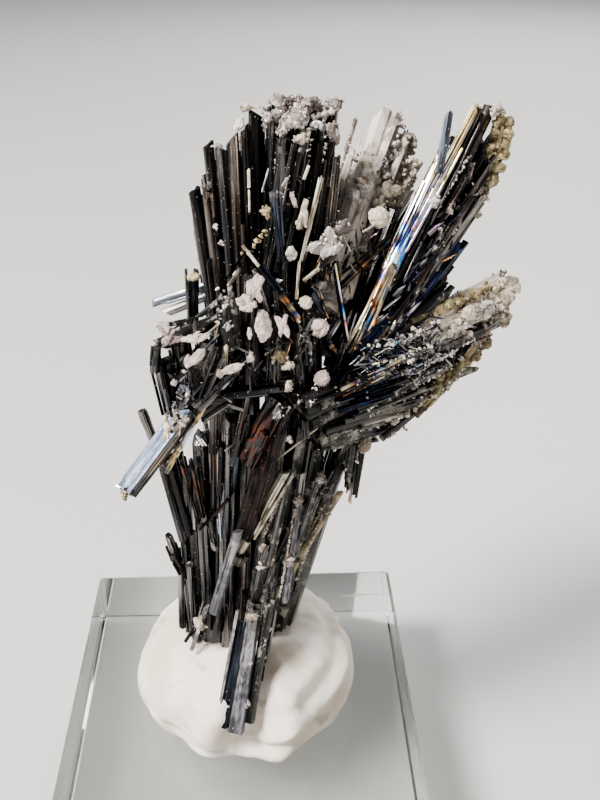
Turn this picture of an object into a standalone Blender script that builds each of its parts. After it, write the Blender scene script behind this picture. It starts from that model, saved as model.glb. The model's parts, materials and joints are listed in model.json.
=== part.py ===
"""A stibnite crystal spray, held in a lump of putty on a clear block.

Frame: metres, +Z up, origin at the middle of the block's underside, +X along the block's front
edge and +Y towards its back. Driving dimensions are in millimetres and are turned into metres
by MM. Crystals that have grown into one another are one solid. The spray is parted at its main
forks, and the few crystals that only lean on it are solids of their own.
"""
import math
import random
from dataclasses import dataclass, replace

import bmesh
import bpy
from mathutils import Matrix, Vector

MM = 0.001
SEED = 41
CLEARANCE = 0.2            # gap between neighbouring solids

# Block and putty
BLOCK_SIDE = 25.4          # one inch square
BLOCK_HEIGHT = 9.5         # three eighths of an inch
BLOCK_EDGE_ROUND = 0.35
PUTTY_CENTRE = (0.05, -0.5)
PUTTY_RADIUS = 7.75
PUTTY_HEIGHT = 7.0
PUTTY_FOLDS = 9
PUTTY_FOLD_DEPTH = 0.3

# Crystal habit
TIP_TAPER = 0.93           # tip width over foot width
TIP_SLOPE = 0.55           # steepest slant of a broken tip
TURN_SPREAD = 28.0         # degrees that a crystal may be turned on its own axis
LUMP_ROUGHNESS = 0.16      # how far a quartz lump's points stand off its ball
REAR_GIRTH = (1.35, 1.75)  # how much thicker the fewer crystals of the rear ranks are
REAR_SCATTER = 0.35

# Forks: a point on each parting plane, and the plane's normal
FORK_BOX = 80.0            # side of the boxes that cut a branch off at its forks
FORKS = {
    "stem to upright": ((0.0, 0.0, 36.6), (0.0, 0.0, 1.0)),
    "stem to middle": ((0.0, -5.2, 36.6), (0.0, -0.80, 0.60)),
    "stem to lower right": ((6.0, 0.0, 36.6), (0.95, 0.0, 0.31)),
    "middle to upright": ((0.0, -4.5, 40.5), (0.0, 0.85, 0.53)),
    "middle to right": ((5.9, 0.0, 40.0), (1.0, 0.0, -0.05)),
    "upright to right": ((6.0, 0.0, 40.0), (0.995, 0.0, -0.10)),
    "lower right to iridescent": ((6.0, -4.0, 38.7), (-0.24, 0.0, 0.97)),
    "iridescent to quartz": ((8.0, -1.6, 43.0), (-0.83, 0.52, 0.20)),
}
BEFORE = -1                # the side of a fork that its normal points away from
PAST = 1                   # the side that its normal points to


@dataclass
class Crystal:
    """A prism from foot to tip in mm, with its section, its turn in degrees and its tip's slant."""
    foot: tuple
    tip: tuple
    width: float
    thickness: float
    sides: int = 6
    turn: float = None
    slant: float = None


@dataclass
class Lump:
    """A crust of quartz: its middle and its three radii in mm, and its fineness."""
    centre: tuple
    radii: tuple
    fineness: int = 1


@dataclass
class Bundle:
    """A branch of the spray: its ranked crystals, its odd ones, its crust and its forks."""
    name: str
    crystals: list
    singles: list
    crust: list
    forks: dict
    ranks: int = 1
    step: tuple = (0.0, 0.0, 0.0)       # from one rank to the next
    shorten: float = 0.0                # how much shorter each rank stands
    reach_foot: float = 0.0             # how far the feet run on into the fork
    reach_tip: float = 0.0


STEM = Bundle(
    name="stem_bundle",
    crystals=[
        Crystal((-3.7, -1.6, 14.4), (-4.1, -2.0, 29.0), 1.0, 0.9),
        Crystal((-3.1, -2.0, 13.8), (-2.7, -3.2, 31.8), 1.1, 1.0),
        Crystal((-2.4, -2.6, 13.4), (-1.4, -4.0, 33.3), 1.2, 1.1),
        Crystal((-1.3, -2.8, 13.0), (-0.2, -4.8, 34.0), 1.3, 1.1),
        Crystal((-0.3, -2.8, 12.8), (1.2, -4.8, 34.0), 1.4, 1.2),
        Crystal((0.7, -2.8, 12.8), (2.7, -4.6, 34.0), 1.4, 1.2),
        Crystal((1.5, -2.4, 12.8), (4.3, -3.8, 33.8), 1.4, 1.3),
        Crystal((2.2, -1.8, 13.0), (5.5, -3.0, 33.0), 1.4, 1.2),
        Crystal((2.7, -1.2, 13.6), (6.9, -2.2, 30.4), 1.1, 1.1),
    ],
    singles=[
        Crystal((0.0, -4.7, 28.6), (2.9, -5.7, 35.4), 2.1, 1.2),
        Crystal((-0.3, -7.1, 11.7), (1.9, -4.3, 22.4), 1.3, 1.4, turn=12.0),
        Crystal((0.5, -6.9, 11.5), (2.6, -4.0, 21.8), 1.1, 1.2, turn=-30.0),
        Crystal((-1.7, -3.9, 19.0), (0.5, -4.9, 27.0), 0.9, 0.8),
        Crystal((-3.2, -3.1, 15.2), (-1.3, -4.0, 21.0), 1.1, 0.9),
        Crystal((-3.6, -1.2, 18.6), (-4.9, -1.5, 22.2), 0.9, 0.8),
        Crystal((5.2, -2.6, 27.0), (7.4, -2.4, 31.6), 1.0, 0.9),
    ],
    crust=[
        Lump((3.4, -4.4, 25.0), (0.9, 0.6, 1.6)),
        Lump((2.4, -4.3, 20.4), (0.8, 0.6, 1.0)),
        Lump((4.9, -3.9, 28.6), (0.8, 0.6, 1.4)),
    ],
    forks={"stem to upright": BEFORE, "stem to middle": BEFORE, "stem to lower right": BEFORE},
    ranks=3, step=(0.1, 1.45, 0.1), shorten=0.03, reach_tip=3.4,
)

UPRIGHT = Bundle(
    name="upright_bundle",
    crystals=[
        Crystal((-0.6, -3.0, 39.8), (-1.7, -1.0, 48.3), 0.8, 0.8),
        Crystal((-0.2, -3.6, 40.1), (-0.9, -1.6, 48.7), 0.7, 0.8),
        Crystal((0.1, -3.0, 40.0), (-0.8, -0.5, 50.8), 0.7, 0.8),
        Crystal((0.5, -3.6, 40.3), (-0.1, -1.2, 51.0), 0.7, 0.7),
        Crystal((0.9, -3.6, 40.2), (0.6, -1.2, 51.6), 0.9, 0.8),
        Crystal((1.5, -3.2, 40.1), (1.3, -0.8, 52.3), 0.6, 0.8),
        Crystal((1.8, -3.4, 40.1), (1.9, -0.6, 52.9), 1.0, 0.9),
        Crystal((2.6, -3.6, 40.2), (2.8, 0.2, 53.4), 1.0, 1.0),
        Crystal((3.4, -4.4, 40.6), (3.3, -2.6, 52.1), 0.8, 0.8),
        Crystal((3.9, -4.2, 40.5), (4.1, -1.8, 52.7), 0.8, 0.9),
        Crystal((3.7, -2.2, 39.6), (4.1, 1.0, 53.0), 1.2, 1.1),
        Crystal((4.6, -3.2, 40.0), (5.3, -0.2, 53.4), 0.9, 1.0),
        Crystal((5.0, -3.0, 39.9), (6.3, 0.6, 52.8), 0.9, 1.0),
        Crystal((5.1, -3.8, 40.6), (6.1, -1.4, 50.9), 0.7, 0.8),
    ],
    singles=[
        Crystal((-0.6, -1.7, 42.8), (-4.8, -1.1, 41.2), 0.6, 0.5),
        Crystal((-0.6, -1.5, 42.2), (-4.0, -1.5, 40.7), 0.6, 0.5),
        Crystal((-0.9, -3.4, 40.4), (-1.8, -2.8, 44.3), 0.7, 0.8),
    ],
    crust=[
        Lump((3.4, -1.2, 53.1), (1.5, 1.1, 0.8), 2),
        Lump((4.3, -0.6, 52.7), (0.9, 1.0, 0.9)),
        Lump((2.9, -1.9, 52.2), (0.8, 0.7, 0.9)),
        Lump((5.9, -0.2, 52.9), (0.7, 0.8, 0.9)),
        Lump((5.7, -1.1, 51.5), (0.6, 0.6, 0.9)),
        Lump((0.8, -1.2, 51.9), (0.6, 0.5, 0.6)),
        Lump((5.3, -4.0, 45.4), (1.1, 0.7, 0.9)),
        Lump((3.8, -4.3, 46.5), (0.5, 0.5, 1.2)),
    ],
    forks={"stem to upright": PAST, "middle to upright": PAST, "upright to right": BEFORE},
    ranks=3, step=(0.0, 1.35, -0.45), shorten=0.05, reach_foot=3.6,
)

MIDDLE = Bundle(
    name="middle_cluster",
    crystals=[
        Crystal((0.6, -4.6, 41.2), (-3.1, -7.2, 38.6), 1.5, 1.4),
        Crystal((0.6, -4.4, 42.1), (-4.0, -6.6, 41.0), 1.1, 1.1),
        Crystal((1.6, -4.7, 40.2), (-2.1, -7.6, 37.5), 1.5, 1.4),
        Crystal((2.4, -4.9, 38.8), (-2.6, -6.6, 36.4), 1.3, 1.3),
        Crystal((-3.3, -6.2, 36.3), (-4.0, -5.8, 41.1), 0.7, 0.9),
        Crystal((-2.3, -5.6, 36.0), (-2.8, -5.4, 41.2), 1.3, 1.3),
        Crystal((-0.6, -6.3, 38.4), (-4.8, -8.2, 31.6), 0.5, 0.5),
        Crystal((0.3, -5.6, 36.4), (-0.2, -5.2, 42.4), 1.3, 1.3),
        Crystal((1.4, -5.7, 36.3), (1.5, -4.9, 44.8), 1.4, 1.2),
        Crystal((2.7, -5.7, 36.3), (3.1, -5.2, 42.8), 1.3, 1.2),
        Crystal((4.6, -5.9, 34.6), (4.0, -6.3, 41.8), 0.8, 0.8),
        Crystal((5.0, -5.0, 36.4), (5.0, -4.8, 42.6), 1.2, 1.2),
        Crystal((2.0, -5.4, 33.8), (3.3, -6.2, 37.9), 2.1, 1.2),
        Crystal((-1.4, -5.9, 38.0), (4.9, -5.4, 38.6), 1.3, 1.3),
    ],
    singles=[],
    crust=[
        Lump((2.9, -6.3, 39.5), (0.9, 0.5, 0.9)),
        Lump((3.6, -6.5, 38.0), (0.5, 0.4, 0.7)),
        Lump((1.1, -5.8, 43.1), (0.6, 0.4, 1.0)),
        Lump((1.8, -6.1, 41.7), (0.5, 0.4, 0.9)),
        Lump((4.3, -6.0, 43.0), (0.6, 0.6, 0.6)),
        Lump((5.1, -5.7, 41.5), (0.8, 0.7, 0.8)),
        Lump((5.1, -5.9, 38.6), (0.6, 0.6, 0.9)),
        Lump((-3.7, -5.9, 41.3), (0.6, 0.5, 0.5)),
        Lump((-2.4, -7.2, 38.0), (0.7, 0.5, 0.8)),
    ],
    forks={"stem to middle": PAST, "middle to upright": BEFORE, "middle to right": BEFORE},
)

IRIDESCENT = Bundle(
    name="iridescent_bundle",
    crystals=[
        Crystal((7.0, -4.6, 40.0), (14.9, 2.5, 52.2), 0.8, 0.8),
        Crystal((9.0, -3.0, 43.2), (13.0, 1.0, 52.1), 0.7, 0.7),
        Crystal((7.9, -4.0, 40.2), (14.3, 3.2, 51.7), 1.1, 1.0),
        Crystal((8.9, -3.4, 40.4), (16.1, 4.0, 51.9), 1.1, 1.0),
        Crystal((9.8, -2.6, 40.4), (17.6, 4.8, 50.7), 1.3, 1.2),
        Crystal((9.3, -3.6, 40.6), (15.7, 2.2, 46.7), 1.0, 1.0),
        Crystal((9.7, -3.4, 40.0), (15.0, 0.9, 44.3), 0.9, 0.8),
        Crystal((9.9, -3.4, 39.8), (13.7, -0.6, 41.9), 0.9, 0.8),
        Crystal((7.3, -5.2, 39.5), (9.9, -3.0, 44.5), 0.6, 0.6),
        Crystal((8.2, -5.0, 40.4), (11.1, -2.6, 43.0), 0.8, 0.7),
        Crystal((7.2, -3.5, 40.1), (10.1, 0.5, 46.7), 1.0, 0.9),
        Crystal((7.3, -2.4, 41.4), (11.8, 1.4, 47.1), 0.9, 0.9),
    ],
    singles=[Crystal((6.5, -4.2, 43.4), (9.7, -1.6, 45.5), 0.5, 0.5)],
    crust=[
        Lump((17.4, 4.2, 50.8), (0.9, 0.9, 1.0)),
        Lump((17.2, 3.8, 49.3), (0.9, 0.8, 1.0)),
        Lump((16.3, 3.4, 47.9), (0.8, 0.8, 0.9)),
        Lump((16.0, 3.4, 51.7), (0.8, 0.7, 0.6)),
        Lump((14.8, 1.7, 46.0), (0.7, 0.7, 0.6)),
        Lump((8.6, -2.6, 44.9), (0.6, 0.6, 0.6)),
    ],
    forks={"upright to right": PAST, "lower right to iridescent": PAST,
           "iridescent to quartz": BEFORE},
    ranks=2, step=(0.1, 0.95, -0.65), shorten=0.06, reach_foot=3.0,
)

LOWER_RIGHT = Bundle(
    name="lower_right_branch",
    crystals=[
        Crystal((6.3, -5.0, 37.6), (18.3, 3.0, 40.1), 1.1, 1.0),
        Crystal((10.4, -2.3, 39.6), (18.8, 3.6, 40.3), 1.0, 0.9),
        Crystal((6.0, -5.4, 36.9), (17.7, 2.2, 38.7), 1.3, 1.2),
        Crystal((6.3, -5.0, 35.9), (15.7, 1.2, 36.4), 1.3, 1.2),
        Crystal((6.8, -4.4, 34.8), (14.0, 0.0, 34.6), 1.3, 1.2),
        Crystal((6.0, -6.2, 38.0), (12.8, -2.4, 39.1), 1.0, 0.9),
        Crystal((7.0, -3.8, 33.4), (11.0, -1.4, 32.6), 1.2, 1.2),
    ],
    singles=[
        Crystal((8.5, -2.9, 34.8), (7.7, -3.2, 27.8), 0.7, 0.8),
        Crystal((7.9, -3.0, 34.4), (7.3, -3.4, 29.0), 0.6, 0.7),
    ],
    crust=[
        Lump((17.9, 2.9, 40.4), (1.0, 0.8, 0.7)),
        Lump((16.3, 1.8, 40.0), (1.1, 0.8, 0.7)),
        Lump((14.4, 0.4, 39.8), (1.1, 0.8, 0.7)),
        Lump((15.6, 1.2, 37.4), (1.0, 0.8, 0.8)),
        Lump((9.4, -4.1, 39.2), (1.2, 0.7, 0.6)),
        Lump((8.6, -3.4, 32.4), (0.7, 0.6, 1.1)),
        Lump((12.9, -0.5, 35.9), (0.9, 0.8, 0.8)),
    ],
    forks={"stem to lower right": PAST, "lower right to iridescent": BEFORE,
           "middle to right": PAST},
    ranks=2, step=(-0.3, 1.1, -0.55), shorten=0.06, reach_foot=2.0,
)

QUARTZ = Bundle(
    name="quartz_coated_bundle",
    crystals=[
        Crystal((7.5, 0.0, 45.7), (10.3, 6.3, 50.9), 1.7, 1.5),
        Crystal((7.5, 1.0, 46.0), (9.1, 6.0, 50.1), 1.3, 1.3),
        Crystal((8.6, 0.8, 45.3), (11.4, 6.5, 49.3), 1.4, 1.3),
        Crystal((9.2, 1.3, 45.0), (12.1, 5.2, 48.1), 1.2, 1.1),
        Crystal((7.2, -1.4, 43.0), (8.4, 0.6, 46.6), 1.3, 1.2),
    ],
    singles=[],
    crust=[
        Lump((10.0, 5.8, 50.6), (1.0, 0.9, 0.9)),
        Lump((8.9, 5.3, 49.8), (0.8, 0.7, 0.7)),
        Lump((11.2, 5.6, 49.1), (0.8, 0.8, 0.7)),
        Lump((9.1, 1.0, 46.1), (0.8, 0.8, 0.8)),
        Lump((8.0, 0.5, 46.8), (0.9, 0.8, 0.8)),
        Lump((9.9, 3.0, 48.2), (1.1, 0.9, 0.8)),
        Lump((11.4, 4.4, 47.6), (0.8, 0.7, 0.7)),
    ],
    forks={"upright to right": PAST, "iridescent to quartz": PAST,
           "lower right to iridescent": PAST},
    ranks=2, step=(0.1, 0.7, -1.1), shorten=0.05, reach_foot=5.0,
)

BUNDLES = (STEM, UPRIGHT, MIDDLE, IRIDESCENT, LOWER_RIGHT, QUARTZ)

# Crystals that lean on the spray without growing through it
LOOSE = {
    "silver_prism": [Crystal((-2.2, -7.0, 37.3), (-5.8, -9.2, 33.2), 1.3, 0.85, 4, 20.0, 0.0)],
    "dark_rod": [Crystal((-2.7, 0.3, 20.6), (-6.1, 1.5, 32.4), 0.8, 0.8, 8)],
    "cream_prism": [Crystal((0.3, -4.8, 25.2), (3.4, -5.5, 32.1), 0.75, 0.5)],
    "blue_needle": [Crystal((3.2, -4.4, 45.1), (2.8, -3.9, 49.2), 0.45, 0.4)],
    "cream_needle": [Crystal((4.3, -4.5, 45.3), (5.4, -3.5, 49.8), 0.35, 0.3)],
    "bent_needle": [
        Crystal((1.1, -4.6, 46.2), (2.3, -5.4, 44.9), 0.35, 0.3),
        Crystal((2.0, -5.2, 45.3), (4.0, -5.8, 42.2), 0.45, 0.4),
    ],
    "purple_needle": [Crystal((6.9, -5.1, 40.4), (6.1, -4.5, 45.2), 0.35, 0.35)],
}
# The branches that each loose crystal leans on, which are cut clear of it
LEANS_ON = {
    "silver_prism": [MIDDLE],
    "dark_rod": [STEM],
    "cream_prism": [STEM, MIDDLE],
    "blue_needle": [UPRIGHT, MIDDLE],
    "cream_needle": [UPRIGHT, MIDDLE],
    "bent_needle": [UPRIGHT, MIDDLE],
    "purple_needle": [UPRIGHT, IRIDESCENT, MIDDLE, LOWER_RIGHT],
}

# Finishes: colour, roughness, metallic, transmission
FINISHES = {
    "clear_acrylic": ((0.95, 0.97, 0.97), 0.05, 0.0, 1.0),
    "white_putty": ((0.86, 0.80, 0.72), 0.65, 0.0, 0.0),
    "stibnite": ((0.09, 0.09, 0.10), 0.28, 0.9, 0.0),
    "tarnished_stibnite": ((0.08, 0.10, 0.22), 0.25, 0.9, 0.0),
    "bright_stibnite": ((0.55, 0.60, 0.66), 0.18, 0.95, 0.0),
    "quartz_crust": ((0.55, 0.52, 0.48), 0.6, 0.0, 0.0),
    "cream_crystal": ((0.70, 0.60, 0.42), 0.4, 0.2, 0.0),
}
FINISH_OF = {
    "acrylic_block": "clear_acrylic",
    "mounting_putty": "white_putty",
    "iridescent_bundle": "tarnished_stibnite",
    "lower_right_branch": "tarnished_stibnite",
    "quartz_coated_bundle": "quartz_crust",
    "silver_prism": "bright_stibnite",
    "cream_prism": "cream_crystal",
    "cream_needle": "cream_crystal",
    "blue_needle": "tarnished_stibnite",
    "purple_needle": "tarnished_stibnite",
}


def make_material(name):
    """A plain Principled finish from the table of finishes."""
    colour, roughness, metallic, transmission = FINISHES[name]
    material = bpy.data.materials.new(name)
    material.use_nodes = True
    shader = material.node_tree.nodes["Principled BSDF"]
    shader.inputs["Base Color"].default_value = (*colour, 1.0)
    shader.inputs["Roughness"].default_value = roughness
    shader.inputs["Metallic"].default_value = metallic
    shader.inputs["Transmission Weight"].default_value = transmission
    return material


def new_object(name, bm, collection):
    """The bmesh as an object in the collection. Its points are scaled from mm to metres."""
    bmesh.ops.scale(bm, vec=(MM, MM, MM), verts=bm.verts)
    mesh = bpy.data.meshes.new(name)
    bm.to_mesh(mesh)
    bm.free()
    obj = bpy.data.objects.new(name, mesh)
    collection.objects.link(obj)
    return obj


def new_cutter(name, bm, collection):
    """A helper shape, hidden from the finished model."""
    obj = new_object(name, bm, collection)
    obj.hide_render = True
    obj.display_type = "WIRE"
    return obj


def half_space(fork, side, cutters):
    """A large box over the far side of a fork, set back by half the clearance."""
    point, normal = FORKS[fork]
    outward = Vector(normal).normalized() * -side
    bm = bmesh.new()
    bmesh.ops.create_cube(bm, size=FORK_BOX)
    middle = Vector(point) + outward * (FORK_BOX - CLEARANCE) / 2.0
    frame = outward.to_track_quat("Z", "Y").to_matrix().to_4x4()
    bmesh.ops.transform(bm, matrix=Matrix.Translation(middle) @ frame, verts=bm.verts)
    return new_cutter(f"{fork} {side}", bm, cutters)


def crystal_mesh(crystal, grow=0.0):
    """A closed prism with a narrower, slanting tip, fattened by grow on every side."""
    foot = Vector(crystal.foot)
    tip = Vector(crystal.tip)
    length = (tip - foot).length
    axis = (tip - foot) / length
    side = axis.cross(Vector((0.0, 1.0, 0.0))).normalized()
    frame = Matrix((side, axis.cross(side), axis)).transposed().to_4x4()
    turn = Matrix.Rotation(math.radians(crystal.turn), 4, "Z")
    size = Matrix.Diagonal((crystal.width + 2.0 * grow, crystal.thickness + 2.0 * grow,
                            length + 2.0 * grow, 1.0))
    bm = bmesh.new()
    bmesh.ops.create_cone(bm, cap_ends=True, cap_tris=False, segments=crystal.sides,
                          radius1=0.5, radius2=0.5 * TIP_TAPER, depth=1.0)
    for vert in bm.verts:
        if vert.co.z > 0.0:
            vert.co.z += crystal.slant * crystal.width / length * (vert.co.x + 0.6 * vert.co.y)
    place = Matrix.Translation((foot + tip) / 2.0)
    bmesh.ops.transform(bm, matrix=place @ frame @ turn @ size, verts=bm.verts)
    return bm


def lump_mesh(lump, rng):
    """A rough, flat-faced ball for a crust of small quartz crystals."""
    bm = bmesh.new()
    bmesh.ops.create_icosphere(bm, subdivisions=lump.fineness, radius=1.0)
    turn = Matrix.Rotation(rng.uniform(0.0, math.pi), 4, "Z")
    for vert in bm.verts:
        vert.co *= 1.0 + rng.uniform(-LUMP_ROUGHNESS, LUMP_ROUGHNESS)
    size = Matrix.Diagonal((*lump.radii, 1.0))
    bmesh.ops.transform(bm, matrix=Matrix.Translation(lump.centre) @ size @ turn, verts=bm.verts)
    return bm


def settled(crystal, rng):
    """The crystal with its turn and slant chosen where they are left open."""
    turn = rng.uniform(-TURN_SPREAD, TURN_SPREAD) if crystal.turn is None else crystal.turn
    slant = rng.uniform(-TIP_SLOPE, TIP_SLOPE) if crystal.slant is None else crystal.slant
    return replace(crystal, turn=turn, slant=slant)


def stretched(crystal, bundle):
    """The crystal with its ends carried on along its own line, into the fork."""
    foot = Vector(crystal.foot)
    tip = Vector(crystal.tip)
    axis = (tip - foot).normalized()
    return replace(crystal, foot=tuple(foot - axis * bundle.reach_foot),
                   tip=tuple(tip + axis * bundle.reach_tip))


def behind(crystal, bundle, rank, rng):
    """A crystal of a rear rank: a front one moved back, shortened and thickened."""
    shift = Vector(bundle.step) * rank
    shift.x += rng.uniform(-REAR_SCATTER, REAR_SCATTER)
    foot = Vector(crystal.foot) + shift
    tip = Vector(crystal.tip) + shift
    tip = foot + (tip - foot) * (1.0 - bundle.shorten * rank * rng.uniform(0.6, 1.8))
    girth = rng.uniform(*REAR_GIRTH)
    return replace(crystal, foot=tuple(foot), tip=tuple(tip), width=crystal.width * girth,
                   thickness=crystal.thickness * girth)


def bundle_rows(bundle):
    """All the crystals of a bundle: the front rank, every other one behind, and the odd ones."""
    rng = random.Random(f"{SEED} {bundle.name}")
    rows = list(bundle.crystals)
    for rank in range(1, bundle.ranks):
        rows += [behind(crystal, bundle, rank, rng) for crystal in bundle.crystals[rank % 2::2]]
    rows = [stretched(row, bundle) for row in rows] + bundle.singles
    return [settled(row, rng) for row in rows]


def boolean(obj, operand, operation):
    """Add an exact Boolean modifier."""
    modifier = obj.modifiers.new(operation.title(), "BOOLEAN")
    modifier.operation = operation
    modifier.object = operand
    modifier.solver = "EXACT"


def island_of(start, unseen):
    """The points joined to start, which are taken out of unseen."""
    stack = [start]
    island = []
    while stack:
        vert = stack.pop()
        island.append(vert)
        for edge in vert.link_edges:
            other = edge.other_vert(vert)
            if other in unseen:
                unseen.remove(other)
                stack.append(other)
    return island


def apply_and_tidy(obj):
    """Apply the object's modifiers, and drop crumbs that the cuts have left loose."""
    graph = bpy.context.evaluated_depsgraph_get()
    mesh = bpy.data.meshes.new_from_object(obj.evaluated_get(graph))
    obj.modifiers.clear()
    bm = bmesh.new()
    bm.from_mesh(mesh)
    unseen = set(bm.verts)
    islands = []
    while unseen:
        islands.append(island_of(unseen.pop(), unseen))
    islands.sort(key=len)
    for crumb in islands[:-1]:
        bmesh.ops.delete(bm, geom=crumb, context="VERTS")
    bm.to_mesh(mesh)
    bm.free()
    obj.data = mesh


def fused(name, members, parts, cutters):
    """One object from closed meshes that overlap, joined by Boolean unions."""
    whole = new_object(name, members[0], parts)
    for count, member in enumerate(members[1:]):
        boolean(whole, new_cutter(f"{name} {count}", member, cutters), "UNION")
    return whole


def build_block(parts):
    """The clear block: a square slab with lightly rounded edges, standing on Z = 0."""
    bm = bmesh.new()
    size = Matrix.Diagonal((BLOCK_SIDE, BLOCK_SIDE, BLOCK_HEIGHT, 1.0))
    lift = Matrix.Translation((0.0, 0.0, BLOCK_HEIGHT / 2.0))
    bmesh.ops.create_cube(bm, size=1.0, matrix=lift @ size)
    block = new_object("acrylic_block", bm, parts)
    bevel = block.modifiers.new("Polished edges", "BEVEL")
    bevel.width = BLOCK_EDGE_ROUND * MM
    bevel.segments = 2


def putty_point(direction):
    """Where the putty's skin lies in a direction from its foot, as a pressed, folded dome."""
    angle = math.atan2(direction.y, direction.x)
    rise = max(direction.z, 0.0)
    fold = math.cos(PUTTY_FOLDS * angle + 3.0 * rise) + 0.6 * math.cos(4.0 * angle + 1.3)
    radius = PUTTY_RADIUS + PUTTY_FOLD_DEPTH * fold * (1.0 - rise)
    spread = radius * math.hypot(direction.x, direction.y) ** 0.65
    return Vector((spread * math.cos(angle), spread * math.sin(angle),
                   PUTTY_HEIGHT * rise ** 0.85))


def build_putty(parts, cutters):
    """The lump of putty: a pressed dome, flat below, with a socket for each crystal in it."""
    bm = bmesh.new()
    bmesh.ops.create_uvsphere(bm, u_segments=32, v_segments=14, radius=1.0)
    geometry = bm.verts[:] + bm.edges[:] + bm.faces[:]
    bmesh.ops.bisect_plane(bm, geom=geometry, plane_co=(0.0, 0.0, 0.0),
                           plane_no=(0.0, 0.0, -1.0), clear_outer=True)
    bmesh.ops.edgeloop_fill(bm, edges=[edge for edge in bm.edges if edge.is_boundary])
    foot = Vector((*PUTTY_CENTRE, BLOCK_HEIGHT + CLEARANCE))
    for vert in bm.verts:
        vert.co = foot + putty_point(vert.co)
    putty = new_object("mounting_putty", bm, parts)
    for count, row in enumerate(bundle_rows(STEM)):
        if row.foot[2] < BLOCK_HEIGHT + PUTTY_HEIGHT:
            socket = new_cutter(f"socket {count}", crystal_mesh(row, CLEARANCE), cutters)
            boolean(putty, socket, "DIFFERENCE")
    apply_and_tidy(putty)


def build_bundle(bundle, parts, cutters):
    """One branch of the spray: its crystals and crust fused, then cut off at its forks."""
    rng = random.Random(f"{SEED} {bundle.name} crust")
    members = [crystal_mesh(row) for row in bundle_rows(bundle)]
    members += [lump_mesh(lump, rng) for lump in bundle.crust]
    branch = fused(bundle.name, members, parts, cutters)
    for fork, side in bundle.forks.items():
        boolean(branch, half_space(fork, side, cutters), "DIFFERENCE")
    for name, neighbours in LEANS_ON.items():
        if bundle in neighbours:
            for count, row in enumerate(loose_rows(name)):
                room = new_cutter(f"room for {name} {count}", crystal_mesh(row, CLEARANCE), cutters)
                boolean(branch, room, "DIFFERENCE")
    apply_and_tidy(branch)


def loose_rows(name):
    """The crystals of a loose piece, with their turns and slants chosen."""
    rng = random.Random(f"{SEED} {name}")
    return [settled(crystal, rng) for crystal in LOOSE[name]]


def build_loose(name, parts, cutters):
    """A crystal that leans on the spray."""
    fused(name, [crystal_mesh(row) for row in loose_rows(name)], parts, cutters)


def main():
    """Build every piece and give it its finish."""
    for obj in list(bpy.data.objects):
        bpy.data.objects.remove(obj)
    parts = bpy.data.collections.new("stibnite_crystal_spray")
    cutters = bpy.data.collections.new("cutters")
    bpy.context.scene.collection.children.link(parts)
    bpy.context.scene.collection.children.link(cutters)
    build_block(parts)
    build_putty(parts, cutters)
    for bundle in BUNDLES:
        build_bundle(bundle, parts, cutters)
    for name in LOOSE:
        build_loose(name, parts, cutters)
    materials = {name: make_material(name) for name in FINISHES}
    for piece in parts.objects:
        piece.data.materials.append(materials[FINISH_OF.get(piece.name, "stibnite")])


main()
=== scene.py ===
"""The looks of a stibnite crystal spray: its fine crystals, crusts, putty, clear block and studio.

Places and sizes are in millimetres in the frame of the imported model: the origin is the middle of the
block's underside, +X runs along its front edge, +Y towards its back and +Z up. Meshes are in metres.
"""

import json
import logging
import math
import random
from collections.abc import Callable
from dataclasses import dataclass, replace
from enum import Enum

import bmesh
import bpy
import numpy as np
from mathutils import Matrix, Vector

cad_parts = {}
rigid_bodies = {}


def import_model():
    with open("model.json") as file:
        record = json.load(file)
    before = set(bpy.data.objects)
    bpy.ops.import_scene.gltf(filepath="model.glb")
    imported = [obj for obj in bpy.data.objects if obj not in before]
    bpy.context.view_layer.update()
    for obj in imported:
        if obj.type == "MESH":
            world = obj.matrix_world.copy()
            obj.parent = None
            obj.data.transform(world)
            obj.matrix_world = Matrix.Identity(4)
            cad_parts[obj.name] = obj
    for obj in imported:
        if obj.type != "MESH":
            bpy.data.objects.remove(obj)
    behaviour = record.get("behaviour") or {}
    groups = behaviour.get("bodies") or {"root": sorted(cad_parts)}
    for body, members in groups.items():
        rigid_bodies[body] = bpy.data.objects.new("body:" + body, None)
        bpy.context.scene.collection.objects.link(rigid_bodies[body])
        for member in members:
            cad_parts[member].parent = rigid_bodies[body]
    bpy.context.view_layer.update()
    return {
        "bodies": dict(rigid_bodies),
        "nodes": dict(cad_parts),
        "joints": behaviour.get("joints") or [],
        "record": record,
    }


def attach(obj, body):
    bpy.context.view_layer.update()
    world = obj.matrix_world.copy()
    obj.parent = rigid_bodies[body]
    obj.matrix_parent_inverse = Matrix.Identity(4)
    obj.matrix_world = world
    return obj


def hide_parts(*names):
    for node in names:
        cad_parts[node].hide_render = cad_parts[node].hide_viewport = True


LOG = logging.getLogger("stibnite_spray")
MM = 0.001
BODY = "root"
UV_NAME = "growth_mm"
MARKS_NAME = "growth_marks"

Point = tuple[float, float, float]
Colour = tuple[float, float, float]
Bands = tuple[tuple[float, Colour], ...]

ORIGIN = (0.0, 0.0, 0.0)
RIGHT = (1.0, 0.0, 0.0)
BACK = (0.0, 1.0, 0.0)
UP = (0.0, 0.0, 1.0)
FULL_TURN = 2.0 * math.pi


# ---------------------------------------------------------------- node wiring and shared effects

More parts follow.
